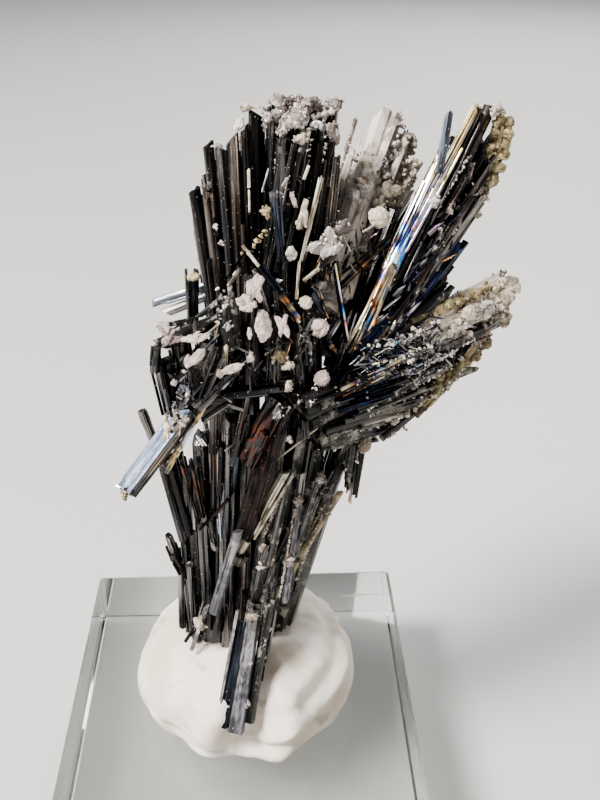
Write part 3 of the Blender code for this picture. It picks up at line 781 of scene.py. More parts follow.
class Growth:
    """Many copies of master shapes, gathered into one mesh."""

    def __init__(self) -> None:
        """Start with nothing gathered."""
        self.points: list[np.ndarray] = []
        self.corners: list[np.ndarray] = []
        self.sides: list[np.ndarray] = []
        self.slots: list[np.ndarray] = []
        self.surface: list[np.ndarray] = []
        self.marks: list[np.ndarray] = []
        self.finishes: list[Finish] = []
        self.count = 0

    def slot(self, finish: Finish) -> int:
        """The material slot of a finish, added on first use."""
        if finish not in self.finishes:
            self.finishes.append(finish)
        return self.finishes.index(finish)

    def add(self, cast: Cast, points: np.ndarray, finish: Finish, surface: np.ndarray,
            marks: np.ndarray, shaded_flank: Finish | None = None) -> None:
        """Gather one copy.

        Args:
            cast: the master shape.
            points: the copy's points, in mm.
            finish: its finish.
            surface: the surface map of its corners, in mm.
            marks: four marks for each point, which the finish reads.
            shaded_flank: the finish of all but its broad front face, where it differs; a darker one is
                painted shade on the sides.
        """
        slots = np.full(len(cast.sides), self.slot(finish))
        # All faces but the broad front get the flank finish: painted shade on the sides of a crystal
        # whose front is lit.
        if shaded_flank is not None:
            slots[cast.normals[:, 1] < FRONT_FACING] = self.slot(shaded_flank)
        self.points.append(points)
        self.corners.append(cast.corners + self.count)
        self.sides.append(cast.sides)
        self.slots.append(slots)
        self.surface.append(surface)
        self.marks.append(marks)
        self.count += len(points)

    def to_object(self, name: str, paintbox: Paintbox) -> bpy.types.Object:
        """Make the gathered copies one object.

        Args:
            name: the object's name.
            paintbox: where its materials come from.

        Returns:
            The object, at the origin, with its mesh in metres.
        """
        mesh = bpy.data.meshes.new(name)
        corners = np.concatenate(self.corners)
        sides = np.concatenate(self.sides)
        mesh.vertices.add(self.count)
        mesh.vertices.foreach_set("co", (np.concatenate(self.points) * MM).ravel())
        mesh.loops.add(len(corners))
        mesh.loops.foreach_set("vertex_index", corners)
        mesh.polygons.add(len(sides))
        mesh.polygons.foreach_set("loop_start", np.concatenate(([0], np.cumsum(sides)[:-1])))
        mesh.polygons.foreach_set("material_index", np.concatenate(self.slots))
        mesh.update(calc_edges=True)
        mesh.shade_flat()
        uv_map = mesh.uv_layers.new(name=UV_NAME)
        uv_map.data.foreach_set("uv", np.concatenate(self.surface).ravel())
        marks = mesh.color_attributes.new(name=MARKS_NAME, type="FLOAT_COLOR", domain="POINT")
        marks.data.foreach_set("color", np.concatenate(self.marks).ravel())
        for finish in self.finishes:
            mesh.materials.append(paintbox.material(finish))
        obj = bpy.data.objects.new(name, mesh)
        bpy.context.scene.collection.objects.link(obj)
        return obj


# ------------------------------------------------------------------------------- master shapes

class Habit(Enum):
    """How a crystal is shaped, by its section and its end."""

    STRIATED = "striated"      # fluted all round, snapped off
    STEPPED = "stepped"        # grown side by side, ending at unlike heights
    BLADE = "blade"            # broad faces and a slanting end
    CHISEL = "chisel"          # few faces, with a roof-shaped end
    SPLINTER = "splinter"      # broken to a point
    NEEDLE = "needle"          # thin, with few faces
    SLAB = "slab"              # four broad faces and a broken end
    ROD = "rod"                # round, with a domed end


STOCK_LENGTH = 10.0            # a master crystal's length, at a width of 1
STOCK_MIDDLE = (0.0, 0.0, STOCK_LENGTH / 2.0)
END_ZONE = 1.0                 # how much of each end keeps its shape when the crystal is stretched


@dataclass(frozen=True)
class Form:
    """How one master crystal is made."""

    columns: int
    flute: float = 0.0                              # how far every second column lies in
    jitter: float = 0.06
    rings: tuple[float, ...] = (1.0, 4.2, 7.4, 9.0)
    kick: float = 0.02
    ribs: tuple[Point, ...] = ()       # angle, half its spread, and how far it stands out
    cuts: tuple[Point, ...] = ()       # height, and slopes along X and Y
    steps: tuple[Point, ...] = ()      # from X, to X, and rise
    crumble: float = 0.0


FORMS: dict[Habit, tuple[Form, ...]] = {
    Habit.STRIATED: (
        Form(14, 0.10, 0.05, ribs=((0.6, 0.5, 1.14),), cuts=((9.7, 0.25, -0.4),), crumble=0.05),
        Form(12, 0.13, 0.08, ribs=((2.4, 0.6, 1.12), (4.6, 0.3, 1.2)),
             cuts=((9.6, -0.5, 0.2), (9.85, 0.7, 0.3))),
        Form(16, 0.09, 0.10, ribs=((3.6, 0.5, 1.16),), cuts=((9.75, 0.1, 0.35),),
             steps=((-0.6, -0.12, 0.22),), crumble=0.04),
    ),
    Habit.STEPPED: (
        Form(12, 0.08, 0.08, cuts=((9.0, 0.2, 0.3),), steps=((-0.6, -0.15, 0.75), (0.2, 0.6, 0.35))),
        Form(10, 0.10, 0.06, ribs=((5.2, 0.6, 1.15),), cuts=((8.9, -0.3, 0.1),),
             steps=((-0.15, 0.2, 0.9), (0.2, 0.6, 0.4)), crumble=0.05),
    ),
    Habit.BLADE: (
        Form(8, 0.0, 0.10, ribs=((0.0, 0.5, 1.08),), cuts=((9.5, 0.9, 0.2),)),
        Form(10, 0.05, 0.10, cuts=((9.4, -0.8, 0.5), (9.9, 0.6, -0.2)), crumble=0.04),
    ),
    Habit.CHISEL: (
        Form(7, 0.0, 0.12, cuts=((9.6, 0.9, 0.2), (9.7, -0.8, 0.5))),
        Form(8, 0.03, 0.12, cuts=((9.5, 0.5, 1.0), (9.7, 0.2, -0.9), (9.8, -1.2, 0.0))),
    ),
    Habit.SPLINTER: (
        Form(9, 0.08, 0.12, cuts=((9.2, 1.8, 0.6), (9.3, -1.4, 1.2), (9.6, 0.4, -2.0)), crumble=0.05),
        Form(8, 0.06, 0.15, cuts=((9.0, 2.4, -0.5), (9.5, -0.6, 1.5))),
    ),
    Habit.NEEDLE: (
        Form(6, 0.0, 0.12, rings=(1.0, 5.0, 9.0), cuts=((9.8, 0.6, 0.3),)),
        Form(5, 0.0, 0.10, rings=(1.0, 6.0), cuts=((9.7, -0.8, 0.6),)),
    ),
}


class Stock:
    """The master shapes that every crystal, crust and flake is copied from."""

    def __init__(self) -> None:
        """Model each master shape once."""
        self.crystals: dict[Habit, list[Cast]] = {}
        for habit, forms in FORMS.items():
            self.crystals[habit] = [Cast.of(self._prism(form, f"{habit.value} {count}"))
                                    for count, form in enumerate(forms)]
        self.crystals[Habit.SLAB] = [Cast.of(self._slab())]
        self.crystals[Habit.ROD] = [Cast.of(self._rod())]
        self.points = [Cast.of(self._quartz_point(sides, lean))
                       for sides, lean in ((5, 0.1), (4, 0.3), (4, -0.2))]
        self.lumps = [Cast.of(self._lump(seed, 2, 0.44)) for seed in (2, 5, 9)]
        self.boulders = [Cast.of(self._lump(seed, 3, 0.7)) for seed in (3, 6, 11)]
        self.balls = [Cast.of(self._lump(seed, 3, 0.4)) for seed in (4, 7)]
        self.flakes = [Cast.of(self._flake(seed)) for seed in (3, 8, 14, 21)]

    @staticmethod
    def _prism(form: Form, name: str) -> bpy.types.Object:
        """Model a striated prism, one unit wide, standing on its foot.

        Args:
            form: how it is made.
            name: its name, which also seeds its unevenness.

        Returns:
            The modelled object.
        """
        rng = random.Random(name)
        bench = Bench(name, bpy.ops.mesh.primitive_cylinder_add, vertices=form.columns, radius=0.5,
                      depth=STOCK_LENGTH, location=STOCK_MIDDLE, end_fill_type="NGON")
        pitch = FULL_TURN / form.columns
        for column in range(form.columns):
            bench.points(lambda co: round(math.atan2(co.x, co.y) / pitch) % form.columns == column)
            reach = 1.0 - form.flute * (column % 2) - rng.uniform(0.0, form.jitter)
            bench.scale((reach, reach, 1.0))
        bench.rings(form.rings)
        for height in form.rings:
            bench.points(lambda co: abs(co.z - height) < 0.01)
            kick = (rng.uniform(-form.kick, form.kick), rng.uniform(-form.kick, form.kick), 0.0)
            bpy.ops.transform.translate(value=kick)
        for angle, spread, reach in form.ribs:
            start = rng.choice(form.rings[:-1])
            bench.faces(lambda co, normal: abs(normal.z) < 0.5 and co.z > start
                        and math.cos(math.atan2(co.y, co.x) - angle) > math.cos(spread))
            bpy.ops.mesh.extrude_region_move()
            bench.scale((reach, reach, 1.0))
        for height, slope_x, slope_y in form.cuts:
            bench.cut((0.0, 0.0, height), (slope_x, slope_y, 1.0), clear=True)
        for start, end, rise in form.steps:
            for offset in (start, end):
                if abs(offset) < 0.5:
                    bench.cut((offset, 0.0, 0.0), RIGHT)
            bench.faces(lambda co, normal: normal.z > 0.5 and start < co.x < end and co.z > 5.0)
            bench.extrude((0.0, 0.0, rise))
        if form.crumble:
            bench.points(lambda co: co.z > form.rings[-1] + 0.15)
            bpy.ops.transform.vertex_random(offset=form.crumble, seed=form.columns)
        return bench.close()

    @staticmethod
    def _slab() -> bpy.types.Object:
        """Model a four-sided prism with crisp bevelled edges and a crumbled, notched end."""
        bench = Bench("slab", bpy.ops.mesh.primitive_cube_add, size=1.0,
                      location=STOCK_MIDDLE, scale=(1.0, 1.0, STOCK_LENGTH))
        bench.edges(lambda one, two: abs(one.z - two.z) > 5.0)
        bpy.ops.mesh.bevel(offset=0.05, segments=1, affect="EDGES")
        for height in (1.0, 9.0, 9.5):
            bench.cut((0.0, 0.0, height), (0.0, 0.05, 1.0))
        for offset in (-0.22, 0.05, 0.3):
            bench.cut((offset, 0.0, 0.0), RIGHT)
            bench.cut((0.0, offset, 0.0), BACK)
        bench.faces(lambda co, normal: co.z > 9.9 and co.x * co.y > 0.02)
        bench.extrude((0.0, 0.0, -0.35))
        bench.faces(lambda co, normal: co.z > 9.9 and co.x < -0.1)
        bench.extrude((0.02, 0.03, 0.15))
        bench.points(lambda co: co.z > 9.6)
        bpy.ops.transform.vertex_random(offset=0.09, seed=4)
        for low, high, rise in ((-0.5, -0.22, 0.03), (0.05, 0.3, -0.03)):
            bench.faces(lambda co, normal: abs(normal.x) > 0.9 and low < co.y < high and 1.0 < co.z < 9.0)
            bpy.ops.mesh.extrude_region_move()
            bench.scale((1.0 + rise, 1.0, 1.0))
        return bench.close()

    @staticmethod
    def _rod() -> bpy.types.Object:
        """Model a round rod with a blunt, swollen end."""
        bench = Bench("rod", bpy.ops.mesh.primitive_cylinder_add, vertices=14, radius=0.42,
                      depth=STOCK_LENGTH, location=STOCK_MIDDLE, end_fill_type="NGON")
        bench.rings((1.0, 3.0, 5.0, 7.0, 8.6, 9.2))
        bench.faces(lambda co, normal: normal.z > 0.9)
        for inset, rise in ((0.07, 0.05), (0.13, 0.02)):
            bpy.ops.mesh.inset(thickness=inset, depth=rise)
        bench.points(lambda co: 9.1 < co.z < 9.95)
        bench.scale((1.12, 1.12, 1.0))
        bench.points(lambda co: co.z > 2.0)
        bpy.ops.transform.vertex_random(offset=0.02, seed=11)
        return bench.close()

    @staticmethod
    def _quartz_point(sides: int, lean: float) -> bpy.types.Object:
        """Model a stubby quartz point: a short prism with a pyramid on it.

        Args:
            sides: its number of faces.
            lean: how far its apex stands off its axis.

        Returns:
            The modelled object, one unit wide.
        """
        bench = Bench("quartz point", bpy.ops.mesh.primitive_cylinder_add, vertices=sides, radius=0.5,
                      depth=0.8, location=(0.0, 0.0, 0.1), end_fill_type="NGON")
        bench.faces(lambda co, normal: normal.z > 0.9)
        bpy.ops.mesh.poke()
        bench.points(lambda co: co.z > 0.4 and co.xy.length < 0.1)
        bpy.ops.transform.translate(value=(lean, 0.4 * lean, 0.55))
        return bench.close()

    @staticmethod
    def _lump(seed: int, fineness: int, relief: float) -> bpy.types.Object:
        """Model the body of a druse: a ball with a knobbly skin.

        Args:
            seed: which knobs it gets.
            fineness: how often the ball's faces are parted: more gives it finer knobs.
            relief: how high the knobs stand, in radii.

        Returns:
            The modelled object, one unit in radius.
        """
        bench = Bench("lump", bpy.ops.mesh.primitive_ico_sphere_add, subdivisions=fineness, radius=1.0,
                      rotation=(seed * 0.7, seed * 0.3, 0.0))
        lump = bench.close()
        apply_modifier(lump, "DISPLACE", texture=clouds(f"knobs {seed}", 1.0 / fineness), strength=relief,
                       texture_coords="LOCAL", mid_level=0.5)
        bpy.ops.object.mode_set(mode="EDIT")
        bpy.ops.mesh.select_all(action="SELECT")
        bpy.ops.transform.vertex_random(offset=0.16 / fineness, seed=seed)
        bpy.ops.object.mode_set(mode="OBJECT")
        return lump

    @staticmethod
    def _flake(seed: int) -> bpy.types.Object:
        """Model a thin flake of crust with a ragged outline and a lumpy face.

        Args:
            seed: which outline it gets.

        Returns:
            The modelled object, two units long, lying on its back.
        """
        rng = random.Random(seed)
        rim = 26
        bench = Bench("flake", bpy.ops.mesh.primitive_circle_add, vertices=rim, radius=1.0,
                      fill_type="NGON")
        pitch = FULL_TURN / rim
        lobes = [rng.uniform(0.0, FULL_TURN) for _ in range(3)]
        for point in range(rim):
            angle = point * pitch
            reach = 0.78 + 0.14 * math.cos(2.0 * angle + lobes[0])
            reach += 0.06 * math.cos(5.0 * angle + lobes[1])
            reach += rng.uniform(-0.07, 0.07)
            bench.points(lambda co: round(math.atan2(co.x, co.y) / pitch) % rim == point)
            bench.scale((reach, reach, 1.0))
        bench.faces(lambda co, normal: True)
        bench.extrude((0.0, 0.0, 0.16))
        bpy.ops.mesh.inset(thickness=0.09, depth=0.07)
        bpy.ops.mesh.inset(thickness=0.2, depth=0.03)
        bpy.ops.mesh.poke()
        bench.points(lambda co: co.z > 0.1)
        bpy.ops.transform.vertex_random(offset=0.07, seed=seed)
        return bench.close()


# --------------------------------------------------------------------- crystals, druses, flakes

YOUNG_HABITS = (Habit.STEPPED, Habit.SPLINTER, Habit.CHISEL, Habit.NEEDLE, Habit.BLADE)
REAR_HABITS = (Habit.STRIATED, Habit.STEPPED, Habit.STRIATED, Habit.CHISEL)
TO_LEFT = (-0.3, -0.9, 0.4)            # where broad faces look
TO_RIGHT = (0.2, -0.9, 0.4)
TO_UPPER_LEFT = (-0.5, -0.8, 0.35)
TO_FRONT_LEFT = (-0.35, -0.8, 0.45)
TO_ABOVE = (-0.1, -0.8, 0.6)
ANY_SPIN = 6.28                        # radians: copies are spun by up to this
SKIN = 0.44                            # how far out quartz points sit, in widths
CLUMP = 9                              # quartz points in a clump
TAPER = 0.08                           # how much thinner a crystal is at its tip


@dataclass(frozen=True)
class Prism:
    """A crystal from foot to tip, with its section, coat, habit and company."""

    foot: Point
    tip: Point
    width: float
    thickness: float
    coat: Coat = Coat.BLACK
    habit: Habit = Habit.STRIATED
    turn: float | None = None      # degrees on its own axis
    brood: int = 3                 # thinner crystals grown against it
    frost: float = 0.0             # quartz points per mm of its length
    bow: float = 0.0               # how far its middle stands off a straight line, in mm
    splay: float = 0.35            # how far the young ones lean off it, in widths
    facing: Point | None = None    # where its broad face looks, in place of a turn
    shaded_flank: Coat | None = None      # the coat of all but its broad face, where it differs: a darker one is painted shade on the sides

    def axes(self) -> np.ndarray:
        """Its own axes as columns: across its width, across its thickness, and along."""
        foot, tip = Vector(self.foot), Vector(self.tip)
        along = (tip - foot).normalized()
        if self.facing is not None:
            out = Vector(self.facing)
            out = (out - along * out.dot(along)).normalized()
            return np.array((out.cross(along), out, along)).T
        side = along.cross(Vector(BACK)).normalized()
        turn = Matrix.Rotation(math.radians(self.turn or 0.0), 3, along)
        return np.array((turn @ side, turn @ along.cross(side), along)).T

    def length(self) -> float:
        """Its length in mm."""
        return (Vector(self.tip) - Vector(self.foot)).length

    def round_it(self, axes: np.ndarray, angle: float) -> np.ndarray:
        """A step off its axis at an angle, one width or thickness long."""
        return axes[:, 0] * math.cos(angle) * self.width + axes[:, 1] * math.sin(angle) * self.thickness

    def grow(self, growth: Growth, stock: Stock, rng: random.Random) -> None:
        """Copy its master, stretched to its length without stretching its ends.

        Args:
            growth: the mesh that it is gathered into.
            stock: the master shapes.
            rng: what chooses its master and its marks.
        """
        cast = rng.choice(stock.crystals[self.habit])
        length = self.length()
        girth = min(0.5 * (self.width + self.thickness), 0.4 * length / END_ZONE)
        height = cast.points[:, 2]
        far = STOCK_LENGTH - END_ZONE
        middle = np.interp(height, (END_ZONE, far), (END_ZONE * girth, length - END_ZONE * girth))
        rise = np.where(height < END_ZONE, height * girth,
                        np.where(height > far, length - (STOCK_LENGTH - height) * girth, middle))
        share = np.clip(rise / length, 0.0, 1.0)
        taper = 1.0 - TAPER * share
        bend = 4.0 * self.bow * share * (1.0 - share)
        local = np.stack((cast.points[:, 0] * self.width * taper,
                          cast.points[:, 1] * self.thickness * taper + bend, rise), axis=1)
        points = local @ self.axes().T + np.array(self.foot)
        corner = local[cast.corners]
        flat = ~cast.across.any(axis=1)
        surface = np.stack(((corner[:, :2] * cast.across).sum(axis=1), corner[:, 2]), axis=1)
        surface[flat] = corner[flat, :2]
        surface += (rng.uniform(0.0, 90.0), rng.uniform(0.0, 90.0))
        marks = np.empty((len(points), 4))
        marks[:, 0] = share
        marks[:, 1] = rng.random()
        marks[:, 2] = rng.random()
        marks[:, 3] = np.clip(1.0 - (length - rise) / girth, 0.0, 1.0)
        growth.add(cast, points, self.coat.value, surface, marks, self.shaded_flank and self.shaded_flank.value)

    def young(self, rng: random.Random) -> list["Prism"]:
        """The thinner crystals that grew against it.

        Args:
            rng: what places them.

        Returns:
            Those crystals.
        """
        axes = self.axes()
        grown = []
        for _ in range(self.brood):
            angle = rng.uniform(0.0, FULL_TURN)
            reach = rng.uniform(0.40, 0.62)
            side = self.round_it(axes, angle)
            foot = np.array(self.foot) + side * reach
            tip = np.array(self.tip) + side * reach * rng.uniform(0.7, 1.2)
            tip += scatter(rng, self.splay * self.width)
            start, end = rng.uniform(0.0, 0.45), rng.uniform(0.62, 1.0)
            share = rng.uniform(0.22, 0.5)
            grown.append(replace(
                self, foot=tuple(foot + (tip - foot) * start), tip=tuple(foot + (tip - foot) * end),
                width=self.width * share, thickness=self.thickness * share * rng.uniform(0.7, 1.2),
                habit=rng.choice(YOUNG_HABITS),
                turn=rng.uniform(0.0, 360.0), facing=None, brood=0, bow=self.bow * rng.uniform(0.8, 1.2)))
        return grown

    def spots(self, rng: random.Random) -> list[tuple[np.ndarray, np.ndarray]]:
        """Where quartz points sit on its skin.

        Args:
            rng: what places them.

        Returns:
            Each spot's place and outward direction.
        """
        axes = self.axes()
        found = []
        count = max(round(self.frost * self.length() / CLUMP), 1 if self.frost else 0)
        clumps = [(rng.uniform(0.0, self.length()), rng.uniform(0.0, FULL_TURN), rng.uniform(0.15, 0.5))
                  for _ in range(count)]
        for height, centre, spread in clumps:
            for _ in range(CLUMP):
                angle = centre + rng.gauss(0.0, 1.6 * spread)
                rise = min(max(height + rng.gauss(0.0, spread), 0.0), self.length())
                out = axes[:, 0] * math.cos(angle) + axes[:, 1] * math.sin(angle)
                skin = SKIN * self.round_it(axes, angle)
                found.append((np.array(self.foot) + axes[:, 2] * rise + skin, out))
        return found


def scatter(rng: random.Random, reach: float) -> np.ndarray:
    """A step of a given length in a chance direction."""
    way = np.array([rng.gauss(0.0, 1.0) for _ in range(3)])
    return way * (reach / np.linalg.norm(way))


def spot_axes(out: np.ndarray, spin: float) -> np.ndarray:
    """Axes as columns, the third along a direction.

    Args:
        out: the direction.
        spin: the turn about it, in radians.

    Returns:
        The axes.
    """
    along = Vector(out).normalized()
    side = along.orthogonal().normalized()
    turn = Matrix.Rotation(spin, 3, along)
    return np.array((turn @ side, turn @ along.cross(side), along)).T


def strew(growth: Growth, cast: Cast, place: np.ndarray, axes: np.ndarray, size: tuple, finish: Finish,
          mark: float) -> None:
    """Gather a copy that has no length of its own.

    Args:
        growth: the mesh that it is gathered into.
        cast: the master shape.
        place: where it goes.
        axes: its axes as columns.
        size: how large it is along each of them.
        finish: its finish.
        mark: its own mark.
    """
    points = (cast.points * np.array(size)) @ axes.T + place
    growth.add(cast, points, finish, cast.points[cast.corners][:, :2], np.full((len(points), 4), mark))


BOULDER_RADIUS = 0.3          # mm: a lump larger than this gets finer knobs


@dataclass(frozen=True)
class Druse:
    """A crumbly mass of crust: a few lumps, set all over with quartz points."""

    centre: Point
    radii: Point
    tint: Tint = Tint.GREY
    points: int = 110
    grain: float = 0.115          # a point's width in mm
    lumps: int = 5

    def grow(self, growth: Growth, stock: Stock, rng: random.Random) -> None:
        """Copy its lumps and strew their points.

        Args:
            growth: the mesh that they are gathered into.
            stock: the master shapes.
            rng: what places them.
        """
        radii = np.array(self.radii)
        lumps = []
        for _ in range(self.lumps):
            share = rng.uniform(0.34, 0.74) if self.lumps > 1 else 1.0
            spread = 0.35 if self.lumps > 1 else 0.1
            uneven = np.array([0.95 + rng.uniform(-spread, spread) for _ in range(3)])
            centre = np.array(self.centre) + scatter(rng, 1.0 - share) * radii
            lumps.append((centre, share * radii * uneven))
        # The lumps get low marks (0.15 to 0.7) against the points' 0 to 1, so the finish paints them
        # darker: painted shade between the points.
        for centre, size in lumps:
            shapes = stock.boulders if size.mean() > BOULDER_RADIUS else stock.lumps
            shapes = stock.balls if self.lumps == 1 else shapes
            strew(growth, rng.choice(shapes), centre,
                  spot_axes(scatter(rng, 1.0), rng.uniform(0.0, ANY_SPIN)), tuple(size),
                  self.tint.value, rng.uniform(0.15, 0.7))
        for _ in range(self.points):
            centre, size = rng.choice(lumps)
            way = scatter(rng, 1.0)
            out = way / size * size.mean() + np.array([rng.gauss(0.0, 0.8) for _ in range(3)])
            width = min(self.grain * 0.6 * 2.0 ** rng.uniform(0.0, 1.7), 0.6 * size.mean())
            strew(growth, rng.choice(stock.points), centre + way * size * rng.uniform(0.78, 0.96),
                  spot_axes(out, rng.uniform(0.0, ANY_SPIN)),
                  (width, 0.7 * width, width * rng.uniform(0.5, 1.05)), self.tint.value, rng.random())


@dataclass(frozen=True)
class Seam:
    """A crust that runs along a crystal, as a row of small crumbly masses."""

    start: Point
    end: Point
    radius: float
    tint: Tint = Tint.GREY
    points: int = 34               # quartz points per mm
    grain: float = 0.11
    ragged: float = 0.45           # how far the masses stray from the line, in radii

    def grow(self, growth: Growth, stock: Stock, rng: random.Random) -> None:
        """Place the masses one after another.

        Args:
            growth: the mesh that they are gathered into.
            stock: the master shapes.
            rng: what places them.
        """
        start, end = np.array(self.start), np.array(self.end)
        length = float(np.linalg.norm(end - start))
        count = max(round(length / (0.8 * self.radius)), 2)
        for step in range(count):
            place = start + (end - start) * step / (count - 1) + scatter(rng, self.ragged * self.radius)
            radii = tuple(self.radius * rng.uniform(0.55, 1.1) for _ in range(3))
            Druse(tuple(place), radii, self.tint, round(self.points * length / count), self.grain,
                  2 if self.radius < 0.25 else 4).grow(growth, stock, rng)


@dataclass(frozen=True)
class Flake:
    """A thin flake of crust that lies on the crystals."""

    centre: Point
    length: float
    breadth: float
    spin: float = 0.0              # degrees, from upright, in the plane of its face
    facing: Point = (0.0, -0.9, 0.42)
    tint: Tint = Tint.PINK
    depth: float = 0.9

    def grow(self, growth: Growth, stock: Stock, rng: random.Random) -> None:
        """Copy a master flake.

        Args:
            growth: the mesh that it is gathered into.
            stock: the master shapes.
            rng: what chooses its outline.
        """
        out = Vector(self.facing).normalized()
        up = (Vector(UP) - out * out.z).normalized()
        up = Matrix.Rotation(math.radians(self.spin), 3, out) @ up
        axes = np.array((up.cross(out), up, out)).T
        for share in (1.0, 0.66, 0.55, 0.45):
            reach = 1.0 - share
            slide = axes @ np.array((rng.uniform(-0.6, 0.6) * reach * self.breadth,
                                     rng.uniform(-0.6, 0.6) * reach * self.length, 0.04 * reach))
            spin = Matrix.Rotation(rng.uniform(-0.5, 0.5), 3, "Z")
            strew(growth, rng.choice(stock.flakes), np.array(self.centre) + slide, axes @ np.array(spin),
                  (0.5 * self.breadth * share, 0.5 * self.length * share, self.depth), self.tint.value,
                  rng.uniform(0.4, 1.0))


@dataclass(frozen=True)
class Litter:
    """Little stray crystals that lie across a branch."""

    start: Point
    end: Point
    spread: Point                  # how far they stray from the line, in mm
    count: int
    coats: tuple[Coat, ...]
    length: float = 1.2
    width: float = 0.2
    lean: float = 0.0              # radians from upright
    wander: float = 0.9            # how far that strays

    def grow(self, growth: Growth, stock: Stock, rng: random.Random) -> None:
        """Strew them.

        Args:
            growth: the mesh that they are gathered into.
            stock: the master shapes.
            rng: what places them.
        """
        start, end = np.array(self.start), np.array(self.end)
        for _ in range(self.count):
            place = start + (end - start) * rng.random()
            place += np.array([0.5 * reach * rng.gauss(0.0, 1.0) for reach in self.spread])
            angle = self.lean + rng.gauss(0.0, self.wander)
            along = np.array((math.sin(angle), rng.uniform(-0.4, 0.4), math.cos(angle)))
            width = self.width * rng.uniform(0.5, 1.5)
            size = (width, width * rng.uniform(0.4, 1.0), self.length * rng.uniform(0.3, 1.0))
            strew(growth, rng.choice(stock.points), place - 0.4 * size[2] * along,
                  spot_axes(along, rng.uniform(0.0, ANY_SPIN)), size, rng.choice(self.coats).value,
                  rng.random())


# ------------------------------------------------------------------------------ sub-assemblies

@dataclass
class Branch:
    """A branch of the spray: crystals grown side by side, with their crust."""

    name: str = "branch"
    node: str = ""
    slot: str = "stibnite"
    seed: int = 1
    prisms: tuple[Prism, ...] = ()
    odd: tuple[Prism, ...] = ()
    druses: tuple[Druse, ...] = ()
    flakes: tuple[Flake, ...] = ()
    seams: tuple[Seam, ...] = ()
    litter: tuple[Litter, ...] = ()
    splay: float = 0.35                    # how far the young crystals lean off, in widths
    ranks: int = 1
    step: Point = ORIGIN                   # from one rank to the next
    shorten: float = 0.0                   # how much shorter each rank stands
    reach_foot: float = 0.0                # how far the feet run on into the fork
    reach_tip: float = 0.0
    rear_coats: tuple[Coat, ...] = (Coat.BLACK,)
    rear_frost: float = 0.0
    frost_tint: Tint = Tint.GREY
    frost_size: float = 0.10

    def rows(self, rng: random.Random) -> list[Prism]:
        """Every crystal of the branch, with the ranks behind and the young ones.

        Args:
            rng: what places the crystals that aren't named.

        Returns:
            The crystals.
        """
        rows = list(self.prisms)
        for rank in range(1, self.ranks):
            rows += [self._behind(row, rank, rng) for row in self.prisms]
        rows = [self._stretched(row) for row in rows] + list(self.odd)
        rows = [replace(row, splay=self.splay, turn=row.turn or rng.uniform(-28.0, 28.0)) for row in rows]
        return rows + [young for row in rows for young in row.young(rng)]

    def _stretched(self, row: Prism) -> Prism:
        """A crystal with its ends carried on along its own line."""
        foot, tip = Vector(row.foot), Vector(row.tip)
        along = (tip - foot).normalized()
        return replace(row, foot=tuple(foot - along * self.reach_foot),
                       tip=tuple(tip + along * self.reach_tip))

    def _behind(self, row: Prism, rank: int, rng: random.Random) -> Prism:
        """A crystal of a rear rank: a front one moved back, shortened and changed."""
        shift = Vector(self.step) * rank
        shift.x += rng.uniform(-0.4, 0.4)
        foot, tip = Vector(row.foot) + shift, Vector(row.tip) + shift
        tip = foot + (tip - foot) * (1.0 - self.shorten * rank * rng.uniform(0.5, 1.9))
        return replace(row, foot=tuple(foot), tip=tuple(tip), width=row.width * rng.uniform(0.9, 1.3),
                       thickness=row.thickness * rng.uniform(0.9, 1.3), coat=rng.choice(self.rear_coats),
                       habit=rng.choice(REAR_HABITS),
                       turn=None, facing=None, brood=3, frost=self.rear_frost)

    def build(self, stock: Stock, paintbox: Paintbox) -> list[bpy.types.Object]:
        """Make the branch's crystals and its crust.

        Args:
            stock: the master shapes.
            paintbox: where the materials come from.

        Returns:
            The branch's objects.
        """
        rng = random.Random(self.seed)
        crystals, crust = Growth(), Growth()
        for row in self.rows(rng):
            row.grow(crystals, stock, rng)
            for place, out in row.spots(rng):
                size = self.frost_size * rng.uniform(0.5, 1.6)
                out = out + np.array([rng.gauss(0.0, 0.35) for _ in range(3)])
                strew(crust, rng.choice(stock.points), place, spot_axes(out, rng.uniform(0.0, ANY_SPIN)),
                      (size, size, size * rng.uniform(0.7, 1.6)), self.frost_tint.value, rng.random())
        for spot in (*self.druses, *self.flakes, *self.seams):
            spot.grow(crust, stock, rng)
        for strays in self.litter:
            strays.grow(crystals, stock, rng)
        built = [crystals.to_object(f"{self.name}_crystals", paintbox)]
        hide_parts(self.node)
        if crust.count:
            built.append(crust.to_object(f"{self.name}_crust", paintbox))
        self.dress(built)
        return built

    def dress(self, built: list[bpy.types.Object]) -> None:
        """Fix the branch's objects to the frame."""
        for obj, slot in zip(built, (self.slot, "quartz_crust")):
            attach(obj, BODY)


